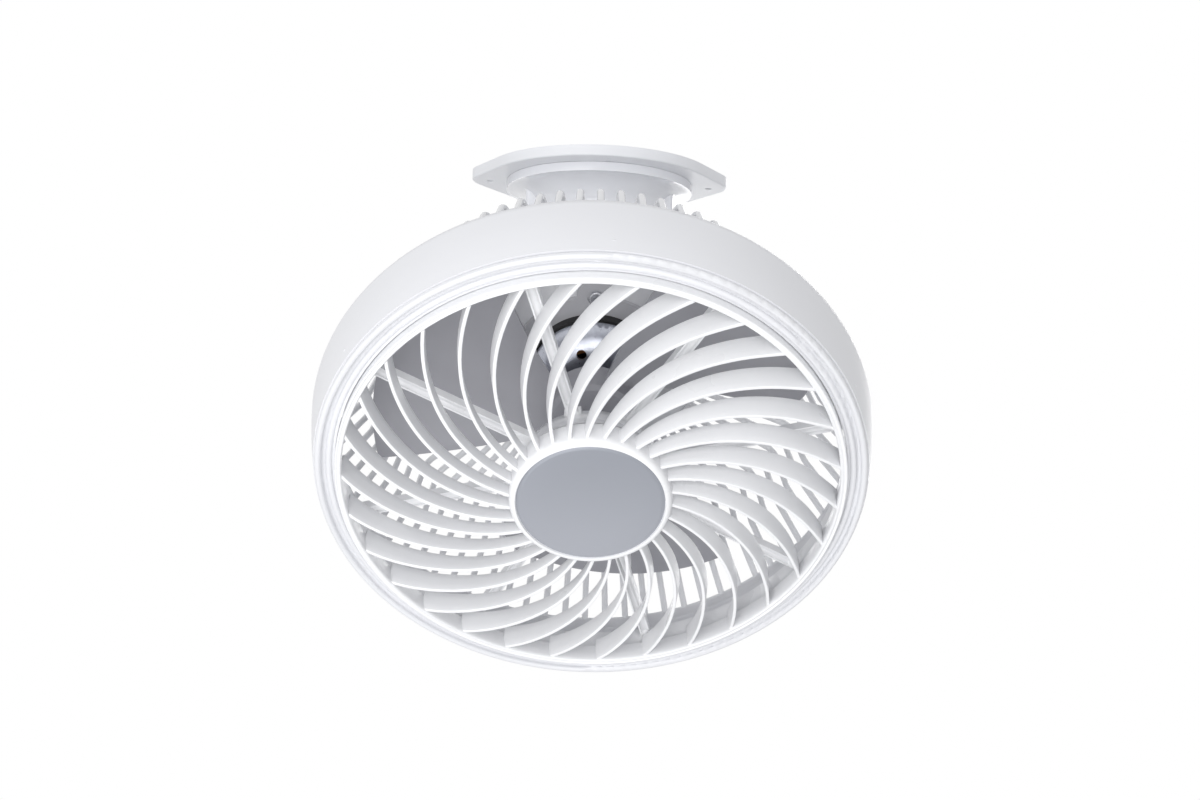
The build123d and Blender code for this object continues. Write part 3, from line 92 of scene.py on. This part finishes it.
def surfaced(material, pattern, relief, height, sources):
    """Raise the surface by the pattern, height metres at most, and feed the shader's other inputs."""
    tree = material.node_tree
    bump = added(tree, "ShaderNodeBump", {"Strength": relief, "Distance": height}, {"Height": pattern})
    shader = tree.nodes["Principled BSDF"]
    for socket, source in sources.items():
        tree.links.new(source, shader.inputs[socket])
    tree.links.new(bump.outputs["Normal"], shader.inputs["Normal"])
    return material


def moulded(name, colour, gloss, cloud, skin, relief, sheen=0.0):
    """Moulded plastic: a clouded colour, a fine pebbled skin and gloss that varies over the surface.
    cloud and skin are the patterns' scales per metre, relief is how strongly the skin shows."""
    cloud_ends = (0.3, 0.7)
    gloss_ends = (gloss - 0.04, gloss + 0.05)
    skin_height = 0.0002
    material, place = started(name, {"IOR": 1.5, "Coat Weight": sheen, "Coat Roughness": 0.12})
    clouds = noise(material, place, cloud, detail=4)
    tint = toned(material, clouds, colour, darkest=0.975, lightest=1.015, ends=cloud_ends)
    uneven = rescaled(material, clouds, cloud_ends, gloss_ends)
    pebble = noise(material, place, skin, detail=2)
    return surfaced(material, pebble, relief, skin_height, {"Base Color": tint, "Roughness": uneven})


def dress(material, *names):
    """Give carried-over pieces of the frame their finish."""
    for name in names:
        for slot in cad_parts[name].material_slots:
            slot.material = material


plate_white = moulded("plate_white", (0.85, 0.86, 0.89), gloss=0.36, cloud=14, skin=900, relief=0.10)
dress(plate_white, "ceiling_plate")


# Neck. A hollow trumpet in glossy white plastic with two ears; its spigot turns in the plate and a
# zinc plated ring, held by three screws, hangs it there.
neck_white = moulded(
    "neck_white", (0.84, 0.85, 0.885), gloss=0.17, cloud=11, skin=700, relief=0.05, sheen=0.4)
dress(neck_white, "swivel_neck")


def plated(name, colour, gloss, streak, relief):
    """Plated or ground metal: a fine grain in the colour, the gloss and the surface. A streak below
    one stretches the grain upwards."""
    grain_scale = 420
    grain_height = 0.0001
    gloss_ends = (gloss - 0.08, gloss + 0.08)
    material, place = started(name, {"Metallic": 0.9})
    stretch = added(material.node_tree, "ShaderNodeMapping", {"Scale": (1, 1, streak)}, {"Vector": place})
    grain = noise(material, stretch.outputs["Vector"], grain_scale, detail=5)
    tint = toned(material, grain, colour, darkest=0.88, lightest=1.06, ends=(0.25, 0.75))
    uneven = rescaled(material, grain, (0, 1), gloss_ends)
    return surfaced(material, grain, relief, grain_height, {"Base Color": tint, "Roughness": uneven})


zinc = plated("zinc_plating", (0.68, 0.69, 0.72), gloss=0.34, streak=1, relief=0.25)
dress(zinc, "neck_ring", "neck_ring_screws")


# Parts on the neck's floor. A cream terminal block with three wire ways, a black run capacitor under
# a sheet metal clip, and the rubber grommet that the leads go down through.
terminal_cream = moulded(
    "terminal_cream", (0.78, 0.74, 0.64), gloss=0.42, cloud=60, skin=1400, relief=0.2)
capacitor_black = moulded(
    "capacitor_black", (0.045, 0.045, 0.052), gloss=0.3, cloud=80, skin=1600, relief=0.15)
rubber = moulded("soft_rubber", (0.025, 0.025, 0.026), gloss=0.62, cloud=90, skin=2200, relief=0.5)
dress(terminal_cream, "terminal_block")
dress(capacitor_black, "capacitor")
dress(rubber, "neck_grommet")
dress(zinc, "terminal_screws", "capacitor_clip", "capacitor_screw")


# Tilt hinge. One long zinc plated bolt with its nut and washers goes through the neck's ears and the
# tube behind the motor cover; it is drawn tight enough to hold the head where it is set.
dress(zinc, "tilt_bolt", "tilt_nut", "tilt_washers")


# Motor cover. A white cup with a ring of vents, two hinge lugs and a cable grommet, screwed to the
# motor plate through the guard's inner ring by four screws.
cover_white = moulded("cover_white", (0.85, 0.86, 0.885), gloss=0.3, cloud=12, skin=900, relief=0.08)
dress(cover_white, "motor_cover")
dress(rubber, "cover_grommet")
dress(zinc, "cover_screws")


# Motor. A silver painted shell in two halves, the front one with four round vents in its dome, round
# a stack of dark steel laminations with copper windings; bronze bushes at both ends carry the shaft,
# and a rubber ring sits round the shell. Sizes are in millimetres from and along the head's axis.
head_lean = 47.7  # degrees between the head's axis and upright
head_place = (0, -0.159757, -0.248373)  # metres, where depths along the head's axis start
mm_per_metre = 1000
weld = 1e-6  # metres, points nearer than this are one
vent_count = 4
vent_radius = 3.6
vent_circle = 30.0
vent_start = -107.7
vent_depth = 108.0
vent_reach = 18.0
vent_sides = 32


def metres(*lengths):
    """Lengths in millimetres as metres."""
    return [length / mm_per_metre for length in lengths]


def picked(*pieces):
    """Select these pieces alone, with the first as the active one."""
    bpy.ops.object.select_all(action="DESELECT")
    for piece in pieces:
        piece.select_set(True)
    bpy.context.view_layer.objects.active = pieces[0]


def settled():
    """Put the selected piece's place, turn and size into its mesh."""
    bpy.ops.object.transform_apply(location=True, rotation=True, scale=True)


def welded():
    """Merge the points that meet, in the mesh that is being edited."""
    bpy.ops.mesh.select_all(action="SELECT")
    bpy.ops.mesh.remove_doubles(threshold=weld)


def faced_out():
    """Turn the faces of the mesh that is being edited outwards, and leave it."""
    bpy.ops.mesh.select_all(action="SELECT")
    bpy.ops.mesh.normals_make_consistent(inside=False)
    bpy.ops.object.mode_set(mode="OBJECT")


def smoothed(sharpest):
    """Shade the selected piece smooth, apart from edges sharper than this angle."""
    bpy.ops.object.shade_smooth_by_angle(angle=math.radians(sharpest))


def into_head(piece):
    """Set a piece that was made about the head's own axis in the tilted head."""
    picked(piece)
    piece.rotation_euler = (math.radians(-head_lean), 0, 0)
    piece.location = head_place
    settled()


def round_the_head(piece, count):
    """Copies of a piece evenly about the head's axis, each with its own mesh."""
    copies = [piece]
    for k in range(1, count):
        twin = piece.copy()
        twin.data = piece.data.copy()
        twin.data.transform(Matrix.Rotation(math.tau * k / count, 4, "Z"))
        scene.collection.objects.link(twin)
        copies.append(twin)
    return copies


def joined(name, pieces):
    """One moulding from several pieces."""
    picked(*pieces)
    bpy.ops.object.join()
    whole = bpy.context.object
    whole.name = name
    return whole


def copied(node, name):
    """A copy of a carried-over piece as one closed skin, to be worked further."""
    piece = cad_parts[node].copy()
    piece.data = piece.data.copy()
    piece.name = name
    scene.collection.objects.link(piece)
    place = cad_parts[node].matrix_world.copy()
    piece.parent = None
    piece.matrix_world = place
    picked(piece)
    settled()
    bpy.ops.object.mode_set(mode="EDIT")
    welded()
    faced_out()
    return piece


def cut_away(piece, cutter):
    """Take the cutter's shape out of a piece, and the cutter out of the scene."""
    cut = piece.modifiers.new("cut", "BOOLEAN")
    cut.operation = "DIFFERENCE"
    cut.solver = "EXACT"
    cut.object = cutter
    picked(piece)
    bpy.ops.object.modifier_apply(modifier="cut")
    bpy.data.objects.remove(cutter, do_unlink=True)
    smoothed(sharpest=30)


def coated(piece, material):
    """Give a whole piece one finish."""
    piece.data.materials.clear()
    piece.data.materials.append(material)


motor_silver = plated("motor_silver", (0.60, 0.62, 0.69), gloss=0.3, streak=1, relief=0.12)
front_shell = copied("motor_front_shell", "motor_front_casting")
vent_turn = math.radians(vent_start)
bpy.ops.object.select_all(action="DESELECT")
bpy.ops.mesh.primitive_cylinder_add(
    vertices=vent_sides, radius=vent_radius / mm_per_metre, depth=vent_reach / mm_per_metre,
    location=metres(vent_circle * math.cos(vent_turn), vent_circle * math.sin(vent_turn), vent_depth))
drill = bpy.context.object
settled()
drills = joined("vent_drill", round_the_head(drill, vent_count))
into_head(drills)
cut_away(front_shell, drills)
coated(front_shell, motor_silver)
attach(front_shell, "head")
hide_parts("motor_front_shell")
dress(motor_silver, "motor_rear_shell")
bronze = plated("bush_bronze", (0.58, 0.42, 0.23), gloss=0.45, streak=1, relief=0.5)
dress(bronze, "front_bush", "rear_bush")
dress(zinc, "motor_bolts", "motor_screws")
dress(rubber, "motor_ring")


def layered(name, dark, light, gloss, pitch, metallic):
    """Layers across the head's axis, such as laminations or turns of wire, one each pitch metres."""
    waves_at_scale_one = 3.18
    layer_relief = 0.5
    layer_height = 0.0002
    material, place = started(name, {"Metallic": metallic, "Roughness": gloss})
    upright = {"Rotation": (math.radians(head_lean), 0, 0)}
    along = added(material.node_tree, "ShaderNodeMapping", upright, {"Vector": place})
    spacing = {"Scale": 1 / pitch / waves_at_scale_one, "Distortion": 0.3}
    waves = added(material.node_tree, "ShaderNodeTexWave", spacing, {"Vector": along.outputs["Vector"]})
    waves.bands_direction = "Z"
    layers = waves.outputs["Fac"]
    tint = blended(material, layers, dark, light)
    return surfaced(material, layers, layer_relief, layer_height, {"Base Color": tint})


laminations = layered(
    "steel_laminations", (0.05, 0.05, 0.055), (0.16, 0.16, 0.17), gloss=0.5, pitch=0.0007, metallic=0.6)
windings = layered(
    "copper_windings", (0.34, 0.13, 0.05), (0.66, 0.30, 0.13), gloss=0.3, pitch=0.0006, metallic=0.7)
dress(laminations, "stator_core", "rotor_core")
dress(windings, "stator_windings")


# Motor plate. A round moulded plate with four screw lobes, between the guard's inner ring and
# the motor's flange. Its grey is painted shade, for the shadow that the plate sits in behind the motor.
# The grey of this plate is painted shade, standing in for the shadow behind the motor.
motor_plate_painted_shade_grey = moulded("motor_plate_painted_shade_grey", (0.60, 0.60, 0.625), gloss=0.42, cloud=20, skin=1200, relief=0.2)
dress(motor_plate_painted_shade_grey, "motor_plate")


# Rear guard. One white moulding: a flange in the drum's mouth, 72 ribs that close in past the blades,
# run back to a rounded shoulder and in to a flat ring behind the motor plate. Six screws hold it.
rib_count = 72
rib_corners = ((176.5, 52.2), (158.5, 88.0), (151.5, 125.0), (80.0, 140.2))
rib_bends = (20.0, 9.0)
bend_steps = 7
rib_width = 4.8
rib_height = 4.0
rib_sides = 12
flange_outline = [
    (174.8, 51.3), (175.1, 51.0), (180.5, 51.0), (180.95, 51.5), (180.9, 52.8), (180.2, 53.5),
    (175.4, 53.5), (174.8, 52.9), (174.8, 51.3)]
inner_ring_outline = [
    (58.0, 140.3), (58.3, 140.0), (78.1, 140.0), (78.1, 138.9), (80.6, 138.3), (81.6, 139.0),
    (81.6, 141.2), (80.4, 142.6), (79.6, 142.95), (58.3, 142.95), (58.0, 142.7), (58.0, 140.3)]


def turned(name, outline, steps):
    """A round piece about the head's axis: its outline, radius and depth in millimetres, is drawn
    by extruding one point and then spun once round."""
    bpy.ops.object.select_all(action="DESELECT")
    radius, depth = outline[0]
    bpy.ops.mesh.primitive_plane_add(size=1 / mm_per_metre, location=metres(radius, 0, depth))
    piece = bpy.context.object
    piece.name = name
    settled()
    bpy.ops.object.mode_set(mode="EDIT")
    bpy.ops.mesh.select_all(action="SELECT")
    bpy.ops.mesh.merge(type="CENTER")
    for (r0, z0), (r1, z1) in zip(outline, outline[1:]):
        step = metres(r1 - r0, 0, z1 - z0)
        bpy.ops.mesh.extrude_region_move(TRANSFORM_OT_translate={"value": step})
    welded()
    bpy.ops.mesh.select_all(action="SELECT")
    bpy.ops.mesh.spin(steps=steps, angle=math.tau, center=(0, 0, 0), axis=(0, 0, 1))
    welded()
    faced_out()
    smoothed(sharpest=35)
    return piece


def finished(piece, material, body, node):
    """Put a modelled piece in the head, give it its finish and let it stand for its node."""
    into_head(piece)
    coated(piece, material)
    for face in piece.data.polygons:
        face.material_index = 0
    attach(piece, body)
    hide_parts(node)


# A rib's middle line bends round each inner corner in short equal steps: stops are the points that
# the rib is extruded to, with the angle that its end is turned by at each.
corners = [Vector(corner) for corner in rib_corners]
stops = []
for before, corner, after, bend in zip(corners, corners[1:], corners[2:], rib_bends):
    lean = math.atan2(*(corner - before))
    turn = math.atan2(*(after - corner)) - lean
    tangent = bend * math.tan(abs(turn) / 2)
    stops.append((corner - (corner - before).normalized() * tangent, 0))
    reach = 2 * bend * math.sin(abs(turn) / bend_steps / 2)
    for k in range(bend_steps):
        heading = lean + turn * (k + 0.5) / bend_steps
        onwards = Vector((math.sin(heading), math.cos(heading))) * reach
        stops.append((stops[-1][0] + onwards, turn / bend_steps))
stops.append((corners[-1], 0))
here = corners[0]
bpy.ops.object.select_all(action="DESELECT")
bpy.ops.mesh.primitive_circle_add(
    vertices=rib_sides, radius=rib_width / 2 / mm_per_metre, fill_type="NGON")
rib = bpy.context.object
rib.scale = (rib_height / rib_width, 1, 1)
rib.rotation_euler = (0, math.atan2(*(corners[1] - here)), 0)
rib.location = metres(here.x, 0, here.y)
settled()
bpy.ops.object.mode_set(mode="EDIT")
bpy.ops.mesh.select_all(action="SELECT")
for place, turn in stops:
    step = metres(place.x - here.x, 0, place.y - here.y)
    bpy.ops.mesh.extrude_region_move(TRANSFORM_OT_translate={"value": step})
    if turn:
        bpy.ops.transform.rotate(
            value=-turn, orient_axis="Y", orient_type="GLOBAL",
            center_override=metres(place.x, 0, place.y))
    here = place
faced_out()
smoothed(sharpest=60)
ribs = joined("guard_ribs", round_the_head(rib, rib_count))
flange = turned("guard_flange", flange_outline, steps=180)
inner_ring = turned("guard_ring", inner_ring_outline, steps=144)
guard = joined("rear_guard_moulding", [ribs, flange, inner_ring])
guard_white = moulded(
    "guard_white", (0.88, 0.885, 0.905), gloss=0.2, cloud=16, skin=900, relief=0.06, sheen=0.3)
finished(guard, guard_white, "head", "rear_guard")
dress(zinc, "guard_screws")


# Drum. The big round housing in white plastic with a wide soft belly, and the duct that guides the
# air inside it.
drum_white = moulded("drum_white", (0.80, 0.805, 0.83), gloss=0.34, cloud=7, skin=900, relief=0.08)
dress(drum_white, "drum_shell")


# Blade wheel. Three broad satin grey blades on a hub, one moulding, driven by a pin through the
# motor's shaft and held by a nut.
blade_grey = moulded("blade_grey", (0.38, 0.38, 0.41), gloss=0.38, cloud=18, skin=1100, relief=0.12)
dress(blade_grey, "fan_blades")
steel = plated("ground_steel", (0.64, 0.65, 0.68), gloss=0.24, streak=0.05, relief=0.15)
dress(steel, "motor_shaft", "drive_pin", "shaft_washers")
dress(zinc, "blade_nut")


# Carrier. A white band in the drum's mouth with eight slim grooved arms and a cup in the middle for
# the small geared motor that turns the grille; eight countersunk screws hold it to the drum.
carrier_white = moulded("carrier_white", (0.89, 0.895, 0.91), gloss=0.3, cloud=12, skin=900, relief=0.08)
arm_count = 8
arm_start = 29.1
arm_half_width = 3.6
arm_trim_width = 2.4
arm_trim_ends = (49.0, 166.3)
arm_trim_depth = 24.25
arm_trim_height = 7.5

carrier = copied("grille_carrier", "carrier_moulding")
inner_end, outer_end = arm_trim_ends
trims = []
for side in (-1, 1):
    across = side * (arm_half_width + arm_trim_width / 2)
    bpy.ops.object.select_all(action="DESELECT")
    bpy.ops.mesh.primitive_cube_add(
        size=1, location=metres((inner_end + outer_end) / 2, across, arm_trim_depth))
    trim = bpy.context.object
    trim.scale = metres(outer_end - inner_end, arm_trim_width, arm_trim_height)
    settled()
    trim.data.transform(Matrix.Rotation(math.radians(arm_start), 4, "Z"))
    trims += round_the_head(trim, arm_count)
trimmer = joined("arm_trimmer", trims)
into_head(trimmer)
cut_away(carrier, trimmer)
coated(carrier, carrier_white)
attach(carrier, "head")
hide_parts("grille_carrier")
dress(zinc, "carrier_screws", "grille_motor", "grille_motor_screws")
dress(steel, "grille_shaft")


# Grille. A white moulding of 30 curved slats between a channelled ring and a hub. It turns slowly
# in front of the blades, pressed on the shaft of its motor and held by one screw.
slat_count = 30
slat_start = 2.2
slat_sweep = 35.8
slat_bow = 3.2
slat_thickness = 2.2
slat_dish = 8.4
slat_edge = 0.5
slat_edge_steps = 3
slat_edge_angle = 50.0
slat_cells = (26, 3)
rim_middle_hub_depth = (19.0, 15.0, 10.6)
rim_middle_hub_lean = (-0.3, -1.7, -1.2)
tip_radius = 162.3
hub_reach = 51.8
opening_radius = 160.0
hub_radius = 53.0
ring_outline = [
    (160.0, 0.6), (160.1, -0.9), (160.4, -1.7), (160.9, -2.1), (161.4, -2.1), (161.9, -1.8),
    (162.5, -1.6), (163.1, -1.8), (163.5, -2.1), (163.9, -2.1), (164.3, -1.8), (164.55, -1.0),
    (164.6, 0.2), (164.6, 13.6), (164.3, 14.0), (162.4, 14.0), (162.1, 13.6), (160.0, 0.6)]
hub_outline = [
    (4.2, -11.0), (48.05, -11.0), (48.05, -12.1), (48.3, -12.5), (49.1, -12.6), (50.2, -12.25),
    (51.1, -11.6), (51.9, -10.5), (52.4, -9.0), (52.6, -7.0), (52.6, 5.1), (52.3, 5.5), (50.8, 5.5),
    (50.5, 5.1), (50.5, -8.5), (7.0, -8.5), (7.0, 7.5), (6.7, 7.8), (3.05, 7.8), (3.05, -5.5),
    (1.65, -5.5), (1.65, -9.0), (4.2, -9.0), (4.2, -11.0)]


def along_slat(values, share):
    """Quadratic through a slat's values at its rim, middle and hub."""
    rim, middle, hub = values
    curve = 2 * rim - 4 * middle + 2 * hub
    return rim + (hub - rim - curve) * share + curve * share * share


# The slat starts as a flat grid, one by one in size about its middle: its length runs from the rim
# to the hub, and its width from the front edge to the back one.
bpy.ops.object.select_all(action="DESELECT")
bpy.ops.mesh.primitive_grid_add(x_subdivisions=slat_cells[0], y_subdivisions=slat_cells[1], size=1)
slat = bpy.context.object
for corner in slat.data.vertices:
    radius = tip_radius + (hub_reach - tip_radius) * (corner.co.x + 0.5)
    share = (opening_radius - radius) / (opening_radius - hub_radius)
    back = corner.co.y + 0.5
    front = -slat_dish * math.sqrt(max(share, 0))
    turn = slat_start - slat_sweep * share - slat_bow * share * (1 - share)
    turn += along_slat(rim_middle_hub_lean, share) * back
    turn = math.radians(turn)
    depth = front + along_slat(rim_middle_hub_depth, share) * back
    corner.co = Vector((radius * math.cos(turn), radius * math.sin(turn), depth)) / mm_per_metre
thick = slat.modifiers.new("thickness", "SOLIDIFY")
thick.thickness = slat_thickness / mm_per_metre
thick.offset = 0
soft = slat.modifiers.new("edges", "BEVEL")
soft.width = slat_edge / mm_per_metre
soft.segments = slat_edge_steps
soft.limit_method = "ANGLE"
soft.angle_limit = math.radians(slat_edge_angle)
for modifier in ("thickness", "edges"):
    bpy.ops.object.modifier_apply(modifier=modifier)
bpy.ops.object.mode_set(mode="EDIT")
faced_out()
smoothed(sharpest=40)
slats = joined("slats", round_the_head(slat, slat_count))
ring = turned("ring", ring_outline, steps=240)
hub = turned("hub", hub_outline, steps=120)
grille = joined("swirl_grille_moulding", [slats, ring, hub])
grille_white = moulded("grille_white", (0.87, 0.875, 0.89), gloss=0.3, cloud=16, skin=900, relief=0.06)
finished(grille, grille_white, "grille", "swirl_grille")
dress(zinc, "grille_screw")


# Badge. A plain round plate in satin silver, glued in the hub's recess, with a soft edge; it covers
# the screw and carries no lettering. Its silver carries painted shade: lighter towards the bottom,
# darker towards the top.
badge_outline = [
    (0.0, -11.0), (47.7, -11.0), (47.75, -11.2), (47.6, -11.35), (45.6, -12.1), (45.2, -12.18),
    (30.0, -12.2), (0.0, -12.2)]
# Heights in metres over which the badge's painted shade runs from light at the bottom to dark at the top.
painted_shade_heights = (-0.29, -0.21)


def metal_with_painted_shade(name, upper, lower, ends, gloss):
    """Satin metallic paint with painted shade: its colour runs from lower, the lighter one, to upper, the
    darker one, between two heights in metres, with a fleck so fine that it only softens the surface."""
    fleck_scale = 2600
    fleck_relief = 0.03
    fleck_height = 0.0001
    material, place = started(name, {"Metallic": 0.25, "Roughness": gloss})
    split = added(material.node_tree, "ShaderNodeSeparateXYZ", {}, {"Vector": place})
    height = rescaled(material, split.outputs["Z"], ends)
    fleck = noise(material, place, fleck_scale, detail=2)
    tint = blended(material, height, lower, upper)
    return surfaced(material, fleck, fleck_relief, fleck_height, {"Base Color": tint})


badge = turned("badge_plate", badge_outline, steps=120)
# The badge's silver is painted with shade: lighter at the bottom, darker at the top.
badge_silver_painted_shade = metal_with_painted_shade(
    "badge_silver_painted_shade", upper=(0.29, 0.305, 0.345), lower=(0.42, 0.435, 0.48), ends=painted_shade_heights, gloss=0.42)
finished(badge, badge_silver_painted_shade, "grille", "badge_disc")


# Front ring. A white ring with two rounded ridges that closes the drum's edge; six screws from
# behind the drum's web hold it.
bezel_white = moulded("bezel_white", (0.77, 0.775, 0.80), gloss=0.34, cloud=12, skin=900, relief=0.05)
dress(bezel_white, "front_bezel")
dress(zinc, "bezel_screws")


# Studio. A plain pale floor well below the fan, soft even light from all round with gentle lamps,
# three in front and one behind, and the camera at the photograph's angle.
floor_radius = 3
floor_height = -1.6
drum_middle = Vector((0, -0.09, -0.22))
room_colour = (0.98, 0.985, 1, 1)
room_strength = 0.52
backdrop_colour = (1, 1, 1, 1)
backdrop_strength = 1
camera_place = (-0.0065, -1.0167, -0.2561)
camera_right = Vector((0.99934, -0.01488, 0.03305))
camera_up = Vector((-0.03412, -0.07800, 0.99637))
camera_forward = Vector((0.01225, 0.99684, 0.07846))
camera_lens = 39.73
camera_sensor = 36

bpy.ops.object.select_all(action="DESELECT")
bpy.ops.mesh.primitive_circle_add(
    vertices=64, radius=floor_radius, fill_type="NGON", location=(0, 0, floor_height))
floor = bpy.context.object
floor.name = "studio_floor"
settled()
floor_pale = moulded("floor_pale", (0.86, 0.86, 0.86), gloss=0.7, cloud=2, skin=60, relief=0.05)
floor.data.materials.append(floor_pale)


def lamp(name, place, size, power):
    """A square area lamp that shines towards the fan."""
    bpy.ops.object.select_all(action="DESELECT")
    bpy.ops.object.light_add(type="AREA", location=place)
    light = bpy.context.object
    light.name = name
    light.data.size = size
    light.data.energy = power
    towards = drum_middle - Vector(place)
    light.rotation_euler = towards.to_track_quat("-Z", "Y").to_euler()


lamp("key_lamp", place=(-0.7, -1.5, 0.2), size=1.0, power=4)
lamp("front_lamp", place=(-0.1, -1.5, -0.35), size=0.9, power=8)
lamp("back_lamp", place=(0.4, 1.5, 0.15), size=1.2, power=9)
lamp("low_lamp", place=(-0.5, -1.1, -0.9), size=1.0, power=5.5)

# The world lights the fan softly, while the camera, glass and gloss see a white backdrop.
world = bpy.data.worlds.new("white_studio")
scene.world = world
world.use_nodes = True
tree = world.node_tree
tree.nodes.clear()
room = added(tree, "ShaderNodeBackground", {"Color": room_colour, "Strength": room_strength}, {})
backdrop = added(
    tree, "ShaderNodeBackground", {"Color": backdrop_colour, "Strength": backdrop_strength}, {})
ray = added(tree, "ShaderNodeLightPath", {}, {})
seen = ray.outputs["Is Camera Ray"]
for kind in ("Is Transmission Ray", "Is Glossy Ray"):
    either = added(tree, "ShaderNodeMath", {}, {0: seen, 1: ray.outputs[kind]})
    either.operation = "MAXIMUM"
    seen = either.outputs[0]
mix = added(tree, "ShaderNodeMixShader", {}, {0: seen, 1: room.outputs[0], 2: backdrop.outputs[0]})
added(tree, "ShaderNodeOutputWorld", {}, {0: mix.outputs[0]})

bpy.ops.object.select_all(action="DESELECT")
bpy.ops.object.camera_add(location=camera_place)
camera = bpy.context.object
camera.rotation_euler = Matrix((camera_right, camera_up, -camera_forward)).transposed().to_euler()
camera.data.lens = camera_lens
camera.data.sensor_width = camera_sensor
scene.camera = camera
